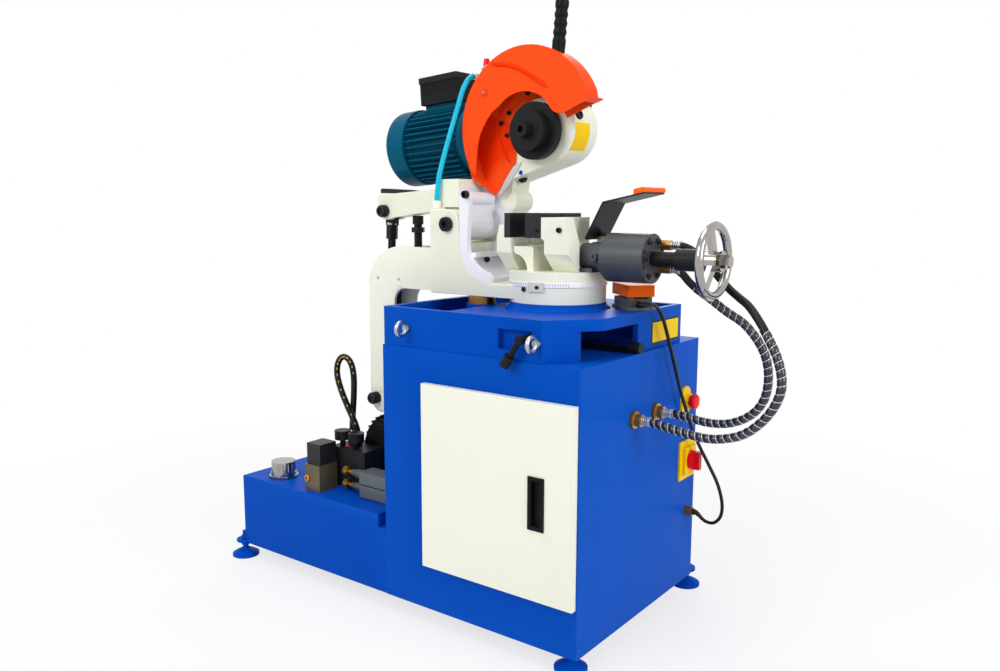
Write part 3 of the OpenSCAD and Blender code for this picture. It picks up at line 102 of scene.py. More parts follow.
def noise(tree, place, scale, detail):
    """The grey of a noise texture over a place."""
    node = tree.nodes.new("ShaderNodeTexNoise")
    node.inputs["Scale"].default_value = scale
    node.inputs["Detail"].default_value = detail
    tree.links.new(place, node.inputs["Vector"])
    return node.outputs["Fac"]


# Camera and studio, in metres

def add_camera():
    """The photograph's view: heading, fall and roll in degrees, and the camera's place."""
    azimuth, fall, roll = (math.radians(a) for a in (36.75, 8.26, 0.15))
    place, sensor, lens = (1.4527, -1.8760, 1.0407), 36, 31.48
    level = math.cos(fall)
    back = Vector((math.sin(azimuth) * level, -math.cos(azimuth) * level, math.sin(fall)))
    data = bpy.data.cameras.new("camera")
    data.sensor_width = sensor
    data.lens = lens
    camera = bpy.data.objects.new("camera", data)
    turn = back.to_track_quat("Z", "Y").to_matrix() @ Matrix.Rotation(roll, 3, "Z")
    camera.matrix_world = Matrix.Translation(place) @ turn.to_4x4()
    scene.collection.objects.link(camera)
    scene.camera = camera


def add_lamp(name, at, aim, size, watts):
    """A soft rectangular lamp."""
    data = bpy.data.lights.new(name, "AREA")
    data.shape = "RECTANGLE"
    data.size, data.size_y = size
    data.energy = watts
    lamp = bpy.data.objects.new(name, data)
    lamp.location = at
    lamp.rotation_euler = (Vector(at) - Vector(aim)).to_track_quat("Z", "Y").to_euler()
    scene.collection.objects.link(lamp)


def seen_directly(tree):
    """1 for rays that show the background itself: from the camera, a reflection or through glass."""
    path = tree.nodes.new("ShaderNodeLightPath")
    seen = path.outputs["Is Camera Ray"]
    for kind in ("Is Glossy Ray", "Is Transmission Ray"):
        seen = maths(tree, "MAXIMUM", seen, path.outputs[kind])
    return seen


def add_world():
    """White where it is seen, and a dimmer fill light for the object."""
    fill = 0.42
    world = bpy.data.worlds.new("studio")
    scene.world = world
    world.use_nodes = True
    tree = world.node_tree
    back = tree.nodes["Background"]
    back.inputs["Color"].default_value = (1, 1, 1, 1)
    tree.links.new(spread_over(tree, seen_directly(tree), fill, 1), back.inputs["Strength"])


def floor_finish():
    """A grey that takes the shadow near the object and turns to white further out."""
    grey, near, far, near_white = 0.86, 0.8, 2.2, 0.72
    material = bpy.data.materials.new("floor")
    material.use_nodes = True
    tree = material.node_tree
    tree.nodes.clear()
    out = tree.nodes.new("ShaderNodeOutputMaterial")
    matte = tree.nodes.new("ShaderNodeBsdfDiffuse")
    matte.inputs["Color"].default_value = (grey, grey, grey, 1)
    glow = tree.nodes.new("ShaderNodeEmission")
    shape = tree.nodes.new("ShaderNodeNewGeometry")
    reach = tree.nodes.new("ShaderNodeVectorMath")
    reach.operation = "LENGTH"
    tree.links.new(shape.outputs["Position"], reach.inputs[0])
    white = spread_over(tree, reach.outputs["Value"], near_white, 1, near, far)
    mix = tree.nodes.new("ShaderNodeMixShader")
    tree.links.new(maths(tree, "MULTIPLY", seen_directly(tree), white), mix.inputs["Fac"])
    tree.links.new(matte.outputs[0], mix.inputs[1])
    tree.links.new(glow.outputs[0], mix.inputs[2])
    tree.links.new(mix.outputs[0], out.inputs["Surface"])
    return material


def add_floor():
    """A wide floor that belongs to the studio."""
    half = 40
    corners = [(-half, -half, 0), (half, -half, 0), (half, half, 0), (-half, half, 0)]
    mesh = bpy.data.meshes.new("floor")
    mesh.from_pydata(corners, [], [(0, 1, 2, 3)])
    floor = bpy.data.objects.new("floor", mesh)
    scene.collection.objects.link(floor)
    mesh.materials.append(floor_finish())


add_camera()
add_world()
add_floor()
add_lamp("key", (-0.6, -3.6, 2.9), (0, 0, 0.75), (2.2, 1.8), 74)
add_lamp("side", (3.7, -0.7, 2.1), (0.2, 0, 0.7), (1.6, 2.0), 62)
add_lamp("top", (-0.1, -0.2, 3.6), (0, 0, 0.8), (2.4, 1.8), 34)
add_lamp("rear", (-1.8, 3.2, 2.4), (0, 0, 0.8), (2.0, 1.6), 40)


# Finishes

FINISHES = {}


def srgb(r, g, b):
    """A display colour, 0 to 255, as linear red, green, blue and alpha."""
    def lin(c):
        c /= 255
        return c / 12.92 if c <= 0.04045 else ((c + 0.055) / 1.055) ** 2.4
    return lin(r), lin(g), lin(b), 1


def box_mask(tree, place, lo, hi):
    """1 inside the box from lo to hi, in mm of the object's own frame, and 0 outside."""
    parts = tree.nodes.new("ShaderNodeSeparateXYZ")
    tree.links.new(place, parts.inputs[0])
    inside = 1
    for axis, low, high in zip("XYZ", lo, hi):
        for limit, test in ((low, "GREATER_THAN"), (high, "LESS_THAN")):
            within = maths(tree, test, parts.outputs[axis], limit * MM)
            inside = maths(tree, "MULTIPLY", inside, within)
    return inside


def finish(name, colour, rough, metallic=0.0, vary=0.08, grain=700, relief=0.05, brush=(1, 1, 1),
           edge_highlight=None, spread=0.07, specular=0.5, bare=None):
    """A surface for FINISHES, with tone, roughness and relief from noise. brush stretches the grain, and
    the edge colour lightens sharp edges as a painted highlight. bare is a box, a colour and a share of
    metal: the casting shows there."""
    cloud_scale, cloud_detail, fine_detail, relief_depth = 9, 4, 3, 0.6 * MM
    lit_from, lit_to, lit_share = 0.53, 0.62, 0.5
    material = bpy.data.materials.new(name)
    material.use_nodes = True
    tree = material.node_tree
    link = tree.links.new
    shader = tree.nodes["Principled BSDF"]
    shader.inputs["Metallic"].default_value = metallic
    shader.inputs["Specular IOR Level"].default_value = specular
    place = tree.nodes.new("ShaderNodeTexCoord").outputs["Object"]
    stretch = tree.nodes.new("ShaderNodeMapping")
    stretch.inputs["Scale"].default_value = brush
    link(place, stretch.inputs["Vector"])
    cloud = noise(tree, place, cloud_scale, cloud_detail)
    fine = noise(tree, stretch.outputs["Vector"], grain, fine_detail)
    base = Vector(colour[:3])
    tone = mixed(tree, cloud, (*(base * (1 - vary)), 1), (*(base * (1 + vary)), 1))
    # Painted highlight: sharp edges, found by pointiness, are lightened towards the edge colour.
    if edge_highlight:
        shape = tree.nodes.new("ShaderNodeNewGeometry")
        highlight_share = spread_over(tree, shape.outputs["Pointiness"], 0, lit_share, lit_from, lit_to)
        tone = mixed(tree, highlight_share, tone, edge_highlight)
    if bare:
        (lo, hi), metal, share = bare
        inside = box_mask(tree, place, lo, hi)
        tone = mixed(tree, inside, tone, metal)
        link(maths(tree, "MULTIPLY", inside, share), shader.inputs["Metallic"])
    link(tone, shader.inputs["Base Color"])
    streaks = cloud if metallic < 0.5 else fine
    gloss = spread_over(tree, streaks, max(rough - spread, 0.02), min(rough + spread, 1))
    link(gloss, shader.inputs["Roughness"])
    bump = tree.nodes.new("ShaderNodeBump")
    bump.inputs["Strength"].default_value = relief
    bump.inputs["Distance"].default_value = relief_depth
    link(fine, bump.inputs["Height"])
    link(bump.outputs["Normal"], shader.inputs["Normal"])
    FINISHES[name] = material


CREAM, ALUMINIUM = srgb(239, 240, 221), srgb(238, 238, 245)
CROSS_BAR = ((21.6, -149, 940), (70, -14, 1096))

# The lighter edge colours given below are painted highlights on sharp edges.
finish("blue_paint", srgb(2, 75, 183), 0.34, vary=0.06, grain=420, relief=0.05, specular=0.025,
       edge_highlight=srgb(30, 112, 222))
finish("cream_paint", CREAM, 0.4, vary=0.02, grain=420, relief=0.06, specular=0.2,
       edge_highlight=srgb(248, 248, 238))
finish("orange_paint", srgb(248, 54, 4), 0.34, vary=0.05, grain=420, relief=0.05, specular=0.03,
       edge_highlight=srgb(255, 100, 42))
finish("motor_paint", srgb(3, 84, 112), 0.36, vary=0.1, grain=380, relief=0.1, specular=0.06,
       edge_highlight=srgb(30, 122, 150))
finish("black_steel", srgb(25, 26, 28), 0.4, vary=0.2, grain=600, relief=0.06, specular=0.12,
       edge_highlight=srgb(84, 85, 88))
finish("cylinder_black", srgb(70, 73, 78), 0.42, 0.3, vary=0.1, grain=900, relief=0.04, specular=0.3,
       edge_highlight=srgb(120, 124, 130))
finish("machined_steel", srgb(178, 180, 184), 0.3, 1.0, vary=0.08, grain=260, relief=0.06, brush=(1, 1, 14))
finish("bright_chrome", srgb(166, 162, 157), 0.13, 1.0, vary=0.06, grain=240, relief=0.01, spread=0.05)
finish("cast_aluminium", srgb(240, 240, 247), 0.42, 0.15, vary=0.06, grain=150, relief=0.16)
finish("grey_metal", srgb(82, 90, 94), 0.45, 0.2, vary=0.12, grain=320, relief=0.08, specular=0.25,
       edge_highlight=srgb(140, 146, 150))
finish("zinc_sheet", srgb(190, 192, 194), 0.36, 1.0, vary=0.14, grain=90, relief=0.04)
finish("olive_block", srgb(100, 90, 66), 0.42, 0.4, vary=0.1, grain=500, relief=0.06, specular=0.3,
       edge_highlight=srgb(150, 138, 108))
finish("bronze", srgb(190, 142, 70), 0.3, 0.9, vary=0.1, grain=300, relief=0.03, spread=0.04)
finish("black_plastic", srgb(19, 21, 23), 0.4, vary=0.2, grain=900, relief=0.1, specular=0.09,
       edge_highlight=srgb(54, 57, 60))
finish("black_rubber", srgb(18, 18, 19), 0.36, vary=0.2, grain=700, relief=0.08, specular=0.25)
finish("cyan_hose", srgb(8, 184, 214), 0.22, vary=0.06, grain=200, relief=0.03, specular=0.15)
finish("red_plastic", srgb(226, 18, 36), 0.32, vary=0.06, grain=500, relief=0.04, specular=0.15)
finish("yellow_plastic", srgb(250, 206, 8), 0.4, vary=0.04, grain=500, relief=0.04, specular=0.1)
finish("orange_plastic", srgb(255, 104, 6), 0.38, vary=0.05, grain=600, relief=0.05, specular=0.1)
finish("spiral_wrap", srgb(34, 36, 40), 0.2, vary=0.3, grain=160, relief=0.04, specular=0.6)
finish("wrap_edge", srgb(214, 216, 220), 0.25, 0.2, vary=0.1, grain=200, relief=0.03)
finish("head_paint", CREAM, 0.4, vary=0.02, grain=420, relief=0.06, specular=0.2,
       bare=(CROSS_BAR, ALUMINIUM, 0.15))


# Mesh building: each helper adds to a bmesh in mm, and piece() closes it

def basis(axis):
    """Two directions square to axis, and axis itself, as unit vectors."""
    w = Vector(axis).normalized()
    u = w.cross(Vector(Z if abs(w.z) < 0.9 else Y)).normalized()
    return u, w.cross(u), w


def lathe(bm, at, axis, profile, sides=32):
    """A turned form: profile is (radius, height along axis) from one end to the other."""
    u, v, w = basis(axis)
    rings = []
    for radius, height in profile:
        centre = Vector(at) + w * height
        if radius < 1e-6:
            rings.append([bm.verts.new(centre)])
            continue
        rings.append([bm.verts.new(centre + radius * (math.cos(a) * u + math.sin(a) * v))
                      for a in (2 * math.pi * k / sides for k in range(sides))])
    for low, high in zip(rings, rings[1:]):
        for k in range(max(len(low), len(high))):
            n = k + 1
            quad = [low[k % len(low)], low[n % len(low)], high[n % len(high)], high[k % len(high)]]
            corners = list(dict.fromkeys(quad))
            if len(corners) > 2:
                bm.faces.new(corners)
    for ring, flip in ((rings[0], True), (rings[-1], False)):
        if len(ring) > 2:
            bm.faces.new(ring[::-1] if flip else ring)


def prism(bm, outline, origin, across, up, depth):
    """An outline in the plane of across and up, pushed by depth along their cross product."""
    across, up = Vector(across).normalized(), Vector(up).normalized()
    out = across.cross(up) * depth
    low = [bm.verts.new(Vector(origin) + across * p[0] + up * p[1]) for p in outline]
    high = [bm.verts.new(v.co + out) for v in low]
    bm.faces.new(low[::-1])
    bm.faces.new(high)
    for k in range(len(low)):
        n = (k + 1) % len(low)
        bm.faces.new((low[k], low[n], high[n], high[k]))


def slab(bm, lo, hi):
    """A box between two corners."""
    lo, hi = Vector(lo), Vector(hi)
    size = hi - lo
    prism(bm, ((0, 0), (size.x, 0), (size.x, size.y), (0, size.y)), lo, X, Y, size.z)


def arc(centre, radius, start, end, count=16):
    """Points on an arc, from one angle in degrees to another."""
    angles = (math.radians(start + (end - start) * k / count) for k in range(count + 1))
    return [(centre[0] + radius * math.cos(a), centre[1] + radius * math.sin(a)) for a in angles]


def socket_screw(bm, at, axis, d, head=None):
    """A socket head screw standing on a face at at, its hexagon sunk in the end."""
    r, h = d / 2, head if head else d * 0.55
    w = Vector(axis).normalized()
    lathe(bm, at, axis, ((r * 0.96, -0.3), (r, 0.6), (r, h * 0.8), (r * 0.9, h), (r * 0.56, h)), 24)
    lathe(bm, Vector(at) + w * h, -w, ((r * 0.56, 0), (r * 0.5, h * 0.05), (r * 0.48, h * 0.6)), 6)


def smooth_path(points, step=6.0):
    """Points on a curve through the given ones, about step apart, in mm."""
    pts = [Vector(p) for p in points]
    pts = [2 * pts[0] - pts[1], *pts, 2 * pts[-1] - pts[-2]]
    path = []
    for a, b, c, d in zip(pts, pts[1:], pts[2:], pts[3:]):
        count = max(2, round((c - b).length / step))
        for k in range(count):
            t = k / count
            path.append(0.5 * (2 * b + (c - a) * t + (2 * a - 5 * b + 4 * c - d) * t * t
                               + (3 * b - a - 3 * c + d) * t ** 3))
    path.append(pts[-2])
    return path


def frames_along(path):
    """A direction and two square ones at each point, carried along without twist."""
    result = []
    side = None
    for k, p in enumerate(path):
        t = (path[min(k + 1, len(path) - 1)] - path[max(k - 1, 0)]).normalized()
        side = basis(t)[0] if side is None else (side - t * side.dot(t)).normalized()
        result.append((p, t, side, t.cross(side)))
    return result


def tube(bm, path, radius, sides=16):
    """A round tube along a path; radius is a number or a function of the share of the length."""
    rings = []
    frames = frames_along(path)
    for k, (p, _, u, v) in enumerate(frames):
        r = radius(k / (len(frames) - 1)) if callable(radius) else radius
        rings.append([bm.verts.new(p + r * (math.cos(a) * u + math.sin(a) * v))
                      for a in (2 * math.pi * s / sides for s in range(sides))])
    for low, high in zip(rings, rings[1:]):
        for s in range(sides):
            n = (s + 1) % sides
            bm.faces.new((low[s], low[n], high[n], high[s]))
    bm.faces.new(rings[0][::-1])
    bm.faces.new(rings[-1])


def spiral(bm, path, radius, pitch, width, thick, per_turn=18):
    """A flat band wound round a path."""
    frames = frames_along(path)
    reach = [0.0]
    for a, b in zip(path, path[1:]):
        reach.append(reach[-1] + (b - a).length)

    def at(s):
        s = min(max(s, 0), reach[-1])
        k = next((i for i in range(len(reach) - 1) if reach[i + 1] >= s), len(reach) - 2)
        f = (s - reach[k]) / max(reach[k + 1] - reach[k], 1e-9)
        (p, _, u, v), (q, _, u2, v2) = frames[k], frames[k + 1]
        return p.lerp(q, f), u.lerp(u2, f).normalized(), v.lerp(v2, f).normalized()

    rows = []
    count = int((reach[-1] - width) / pitch * per_turn)
    for k in range(count + 1):
        a = 2 * math.pi * k / per_turn
        row = []
        for along, lift in ((0, 0), (0.12, thick), (0.88, thick), (1, 0)):
            p, u, v = at(k * pitch / per_turn + along * width)
            row.append(bm.verts.new(p + (radius + lift) * (math.cos(a) * u + math.sin(a) * v)))
        rows.append(row)
    for low, high in zip(rows, rows[1:]):
        for k in range(4):
            n = (k + 1) % 4
            bm.faces.new((low[k], low[n], high[n], high[k]))
    bm.faces.new(rows[0][::-1])
    bm.faces.new(rows[-1])


def soften(obj, width):
    """Rounded edges with flat faces kept flat."""
    segments, edge_angle, face_weight = 2, 35, 60
    obj.data.polygons.foreach_set("use_smooth", [True] * len(obj.data.polygons))
    if width:
        bevel = obj.modifiers.new("edges", "BEVEL")
        bevel.width = width * MM
        bevel.segments = segments
        bevel.limit_method = "ANGLE"
        bevel.angle_limit = math.radians(edge_angle)
        bevel.harden_normals = False
    flat = obj.modifiers.new("shading", "WEIGHTED_NORMAL")
    flat.keep_sharp = True
    flat.weight = face_weight


def piece(name, bm, slot, body=None, edge=0.6, sharp=None):
    """A finished object from a bmesh: its edges are rounded by edge, or kept sharp past an angle."""
    bmesh.ops.recalc_face_normals(bm, faces=bm.faces)
    bmesh.ops.scale(bm, vec=(MM,) * 3, verts=bm.verts)
    mesh = bpy.data.meshes.new(name)
    bm.to_mesh(mesh)
    bm.free()
    obj = bpy.data.objects.new(name, mesh)
    scene.collection.objects.link(obj)
    mesh.materials.append(FINISHES[slot])
    if edge is not None:
        soften(obj, edge)
    elif sharp is not None:
        mesh.shade_smooth()
        mesh.set_sharp_from_angle(angle=math.radians(sharp))
    if body:
        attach(obj, body)
    return obj


# Finishes and edges of the solids

FINE_EDGE = 0.7
EDGE = {"cabinet": 2.5, "oil_tank": 2.5, "tray_casting": 4, "door": 1.6, "swivel_base": 3,
        "head_casting": 4, "gear_cover": 2, "vise_table": 2, "jaw_left": 2, "jaw_right": 2,
        "chip_trough": 2.5, "feed_bracket": 0, "saw_guard": 0.8, "motor_frame": 0.8, "handwheel": 1.2,
        "chip_deflector": 0.6, "vise_cylinder": 1.0, "coolant_unit": 3, "electric_panel": 3,
        "terminal_box": 2.5, "breather_cap": 0.8, "feet": 0.8}
LOOK = {"head_casting": "head_paint", "hose_fittings": "bronze", "feed_rod": "black_steel"}
SLOT = {s["node"]: s["material_slot"] for s in frame["record"]["subparts"]}


def dress_solids():
    """Each solid's finish and rounded edges, by modifiers alone."""
    for name, obj in nodes.items():
        obj.data.materials.clear()
        obj.data.materials.append(FINISHES[LOOK.get(name, SLOT[name])])
        weld = obj.modifiers.new("join", "WELD")
        weld.merge_threshold = 0.02 * MM
        soften(obj, EDGE.get(name, FINE_EDGE))


dress_solids()


# Hoses and cable

HOSE_D, CABLE_D, PUMP_D, COOLANT_D = 18.4, 9, 18, 13
UPPER = [(557, -14, 957.8), (569, -14, 957.8), (590, -6, 953), (614, 8, 936), (636, 22, 910),
         (657, 31, 884), (684, 26, 860), (714, 9, 844), (745, -10, 828), (778, -30, 798),
         (806, -46, 764), (828, -56, 730), (842, -64, 694), (845, -70, 660), (832, -74, 622),
         (806, -75, 586), (772, -75, 557), (734, -75, 541), (688, -75, 533), (630, -75, 537),
         (572, -75, 546), (545, -75, 549), (524, -75, 549)]
LOWER = [(557, -14, 903.8), (567, -14, 903.8), (582, -2, 890), (592, 12, 872), (612, 20, 854),
         (636, 27, 837), (674, 36, 808), (716, 38, 783), (748, 38, 750), (770, 38, 712),
         (779, 38, 664), (771, 38, 612), (742, 38, 573), (694, 38, 547), (640, 38, 540),
         (580, 38, 546), (548, 38, 548), (524, 38, 548)]
CABLE = [(486.8, -32.8, 817), (494, -38.8, 817), (503, -41, 818), (511, -32, 819), (515, -14, 816),
         (517, 8, 804), (519, 30, 778), (520, 52, 740), (520, 78, 694), (521, 104, 644),
         (522, 130, 592), (525, 158, 540), (530, 188, 484), (542, 214, 430), (564, 229, 378),
         (588, 234, 330), (602, 235, 282), (600, 235, 244), (582, 234, 222), (558, 233, 222),
         (538, 233, 236), (530, 233, 240), (522, 233, 240)]
PUMP = [(-346, -150, 379), (-346, -150, 390), (-353, -154, 424), (-378, -158, 472), (-402, -159, 516),
        (-420, -157, 558), (-422, -153, 592), (-410, -148, 613), (-392, -143, 612), (-378, -139, 590),
        (-373, -137, 552), (-375, -137, 500), (-379, -138, 450), (-382, -139, 396), (-382, -139, 379)]
COOLANT = [(6, -46.5, 1378.5), (6, -57, 1378), (4, -73, 1369), (-2, -88, 1343), (-10, -98, 1302),
           (-18, -108, 1260), (-24, -120, 1218), (-31, -135, 1164), (-36, -145, 1122), (-39, -149, 1080),
           (-41, -150, 1052), (-41, -150, 1039.3)]
UPPER_WRAP_START, LOWER_WRAP_START = (790, -37, 783), (600, 19, 855)


def add_cord(name, route, diameter, node):
    """A hose or cable as a round curve, fixed at both ends to the object."""
    path = smooth_path(route)
    data = bpy.data.curves.new(name, "CURVE")
    data.dimensions = "3D"
    data.bevel_depth = diameter / 2 * MM
    data.bevel_resolution = 6
    data.use_fill_caps = True
    line = data.splines.new("POLY")
    line.points.add(len(path) - 1)
    for point, p in zip(line.points, path):
        point.co = (*(p * MM), 1)
    obj = bpy.data.objects.new(name, data)
    scene.collection.objects.link(obj)
    data.materials.append(FINISHES["black_rubber"])
    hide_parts(node)
    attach(obj, "base")


def add_wrap(name, route, start):
    """Spiral wrap over a hose, from near start to the last collar: a dark band and its pale edge."""
    pitch, width, thick, rim, points_clear = 17, 15.2, 1.1, 1.5, 3
    path = smooth_path(route)
    first = min(range(len(path)), key=lambda k: (path[k] - Vector(start)).length)
    run = path[first:-points_clear]
    band, edge = bmesh.new(), bmesh.new()
    spiral(band, run, HOSE_D / 2, pitch, width, thick)
    spiral(edge, run, HOSE_D / 2, pitch, rim, rim)
    return (piece(name, band, "spiral_wrap", "base", edge=None, sharp=40),
            piece(name + "_edge", edge, "wrap_edge", "base", edge=None, sharp=40))


def add_collars(name, route, radius, length):
    """Crimped ferrules where a hose meets its two fittings."""
    path = smooth_path(route, 3)
    rib, groove, pitch, ribs = radius + 1.6, radius + 0.7, 5.4, 4
    profile = [(radius + 0.4, 0), (rib, 1)]
    for k in range(ribs):
        profile += [(rib, 2 + k * pitch), (groove, 3.2 + k * pitch), (groove, 4.8 + k * pitch)]
    profile += [(rib, length - 2), (radius + 0.3, length)]
    bm = bmesh.new()
    for end, inward in ((path[0], path[4]), (path[-1], path[-5])):
        lathe(bm, end, inward - end, profile, 28)
    return piece(name, bm, "machined_steel", "base", edge=None, sharp=35)


def add_vise_hose(place, route, wrap_start):
    """A vise hose with its collars and spiral wrap."""
    wrap = add_wrap(f"{place}_wrap", route, wrap_start)
    collars = add_collars(f"{place}_collars", route, HOSE_D / 2, 24)
    add_cord(f"vise_hose_{place}_line", route, HOSE_D, f"vise_hose_{place}")


def add_relief(name, path):
    """Tapered, ribbed strain relief on the first end of a cable's path."""
    length, flare, ribs, groove = 34, 4.2, 12, 0.7

    def radius(t):
        return CABLE_D / 2 + 0.4 + flare * (1 - t) ** 1.4 - (groove if int(t * ribs) % 2 else 0)

    bm = bmesh.new()
    tube(bm, [p for p in path if (p - path[0]).length < length], radius, 20)
    return piece(name, bm, "black_rubber", "base", edge=None, sharp=40)


def add_foot_cable():
    """The foot switch's cable with a strain relief at each end."""
    path = smooth_path(CABLE, 3)
    reliefs = (add_relief("switch_relief", path), add_relief("gland_relief", path[::-1]))
    add_cord("foot_cable_line", CABLE, CABLE_D, "foot_cable")


def add_pump_hose():
    """The pump's hose with its collars and plain printed dashes on the side that shows."""
    spacing, first, last, length, half_width = 30, 4, 20, 6, 1.2
    sunk, thick, facing = 0.4, 0.9, Vector((0.7, -0.7, 0.1))
    collars = add_collars("pump_collars", PUMP, PUMP_D / 2, 22)
    dash = ((-half_width, 0), (half_width, 0), (half_width, length), (-half_width, length))
    bm = bmesh.new()
    for p, t, _, _ in frames_along(smooth_path(PUMP, spacing))[first:last]:
        out = (facing - t * t.dot(facing)).normalized()
        prism(bm, dash, p + out * (PUMP_D / 2 - sunk), out.cross(t), t, -thick)
    dashes = piece("pump_hose_dashes", bm, "yellow_plastic", "base", edge=None, sharp=30)
    add_cord("pump_hose_line", PUMP, PUMP_D, "pump_hose")


def add_coolant_hose():
    """Blue hose from the tap on the case to the cup on the front ear."""
    path = smooth_path(COOLANT, 5)
    bm = bmesh.new()
    tube(bm, path, COOLANT_D / 2, 20)
    obj = piece("coolant_hose_line", bm, "cyan_hose", edge=None, sharp=60)
    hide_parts("coolant_hose")
    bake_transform(obj)


add_vise_hose("upper", UPPER, UPPER_WRAP_START)
add_vise_hose("lower", LOWER, LOWER_WRAP_START)
add_foot_cable()
add_pump_hose()
add_coolant_hose()


# Trim: seat() finds the surface that a small piece stands on

SPINDLE_X, SPINDLE_Z = 203, 1230
HINGE_X, HINGE_Z = 6, 1001
TABLE_AXIS = (275, -60)
VISE_Y, VISE_Z = -60, 927.8
FEED_FOOT, FEED_TOP = Vector((-308, -60, 502)), Vector((-283, -60, 1033))
TREES = {}


def seat(node, near, towards=Y):
    """Where a line from near meets a node, in mm, and the direction straight out of its surface there."""
    if node not in TREES:
        mesh = nodes[node].data
        corners = [v.co for v in mesh.vertices]
        TREES[node] = BVHTree.FromPolygons(corners, [tuple(p.vertices) for p in mesh.polygons])
    at, out, _, _ = TREES[node].ray_cast(Vector(near) * MM, Vector(towards).normalized())
    return at / MM, -out if out.dot(Vector(towards)) > 0 else out


def add_screws(name, node, places, d, slot="black_steel", towards=Y, head=None):
    """Socket screws standing on a node's surface, each where a line from its place meets it."""
    bm = bmesh.new()
    for near in places:
        at, out = seat(node, near, towards)
        socket_screw(bm, at, out, d, head)
    piece(name, bm, slot, BODY[node], edge=None, sharp=30)


def add_turned(name, node, near, profile, slot, towards=Y, sides=32):
    """A turned piece standing on a node's surface."""
    at, out = seat(node, near, towards)
    bm = bmesh.new()
    lathe(bm, at, out, profile, sides)
    piece(name, bm, slot, BODY[node], edge=None, sharp=35)


def ring_plate(bm, radius, start, end, z0, z1, thick, count=12):
    """A plate bent round the table's axis, from one angle to another."""
    inner = arc(TABLE_AXIS, radius, start, end, count)
    outer = arc(TABLE_AXIS, radius + thick, end, start, count)
    prism(bm, inner + outer, (0, 0, z0), X, Y, z1 - z0)


# Saw guard and gear case

GUARD_FRONT, GUARD_BACK = -85.6, -36.4
FRONT_BEAD = [(81, 1397), (124, 1392), (164, 1381), (196, 1365), (230, 1345), (258, 1326)]
BACK_BEAD = [(124, 1321), (86, 1288), (69, 1258), (68, 1240), (73, 1221), (90, 1184), (114, 1152)]
GUARD_WASHER_AT = (66, -120, 1329)
GUARD_BOLTS_AT = [(165, -62, 1325), (108, -62, 1281), (83, -62, 1256), (101, -62, 1225)]
WASHER = ((10, -0.3), (10.5, 0.8), (10, 2.2), (6.5, 2.6))
OIL_PLUG = ((14, -0.5), (14.4, 1), (14.4, 5), (13, 6.5), (8.5, 6.5), (8, 4), (3.5, 3.6), (0, 3.6))
DRAIN_PLUG = ((13, -0.5), (13, 4), (11.5, 5), (9, 5), (8.6, 9), (0, 9))
SIGHT = ((5.5, -0.4), (6, 0.6), (5.4, 1.6), (4, 1.6), (3.2, 1), (0, 1))


def add_bead(name, points, y, radius):
    """A rolled bead on the guard's sheet: a half-sunk bar with drawn-down ends."""
    taper, thinnest = 9, 0.4

    def thickness(t):
        return max(radius * min(1.0, taper * min(t, 1 - t)) ** 0.5, thinnest)

    bm = bmesh.new()
    tube(bm, smooth_path([(x, y, z) for x, z in points], 4), thickness)
    piece(name, bm, "orange_paint", "head", edge=None, sharp=60)


def add_case_plate():
    """Blank plate bent round the gear case, from its top angle to its bottom one."""
    width, top, bottom, lift, thick = 64, 10, -41, 0.3, 0.8
    at, out = seat("head_casting", (420, -6, 1240), (-1, 0, 0))
    down, _ = seat("head_casting", (420, -6, 1190), (-1, 0, 0))
    rise, run = at.z - down.z, at.x - down.x
    radius = (run * run + rise * rise) / (2 * (run * out.x + rise * out.z))
    centre = (at.x - radius * out.x, at.z - radius * out.z)
    outline = arc(centre, radius + lift, top, bottom) + arc(centre, radius + lift + thick, bottom, top)
    bm = bmesh.new()
    prism(bm, outline, (0, width / 2, 0), X, Z, width)
    piece("case_plate", bm, "yellow_plastic", "head", edge=None, sharp=40)


def add_worm_cover():
    """Raised cover over the worm's chamber, closed at both ends and screwed down by its flanges."""
    front, thick, lap, rise, sink, gap = -25, 2.6, 6, 17, 9, 0.2
    ramp_start, ramp_end, ramp = 42, 82, 6
    corners = (36, 39, 42, *range(44, 81, 4), 82, 85, 88)
    screw_d, screw_head, screw_angles = 8, 4, (39, 85)
    outside, behind = 220, (SPINDLE_X + 92, 200, SPINDLE_Z + 30)
    back = seat("head_casting", behind, (0, -1, 0))[0].y - gap

    def surface(degrees):
        out = Vector((math.cos(math.radians(degrees)), 0, math.sin(math.radians(degrees))))
        at, _ = seat("head_casting", Vector((SPINDLE_X, front, SPINDLE_Z)) + out * outside, -out)
        return at, out

    def edge(flat, raised):
        """One line of the section: at height flat over the case, and raised more between the flanges."""
        points = []
        for degrees in corners:
            at, out = surface(degrees)
            share = min(max((degrees - ramp_start) / ramp, 0), max((ramp_end - degrees) / ramp, 0), 1)
            height = flat + raised * share
            points.append((at.x + out.x * height, at.z + out.z * height))
        return points

    outer, inner = edge(thick, rise), edge(gap, rise)
    roof = outer + inner[::-1]
    front_wall, back_wall = outer + edge(gap, 0)[::-1], outer + edge(gap, -sink)[::-1]
    bm = bmesh.new()
    for outline, y, depth in ((roof, back - thick, back - front - 2 * thick),
                              (front_wall, front + thick, thick),
                              (back_wall, back, thick)):
        prism(bm, outline, (0, y, 0), X, Z, depth)
    piece("worm_cover", bm, "cream_paint", "head", edge=None, sharp=35)
    bm = bmesh.new()
    for degrees in screw_angles:
        at, out = surface(degrees)
        for y in (front + lap, back - lap):
            socket_screw(bm, Vector((at.x, y, at.z)) + out * thick, out, screw_d, screw_head)
    piece("worm_cover_screws", bm, "black_steel", "head", edge=None, sharp=30)


def add_tail_strip():
    """Steel chip strip behind the guard's tail."""
    outline = ((70, 1073), (82, 1076), (104, 1098), (146, 1157), (112, 1146))
    face, thick = -33.9, 2.4
    bm = bmesh.new()
    prism(bm, outline, (0, face, 0), X, Z, thick)
    piece("tail_strip", bm, "zinc_sheet", "head", edge=0.5)


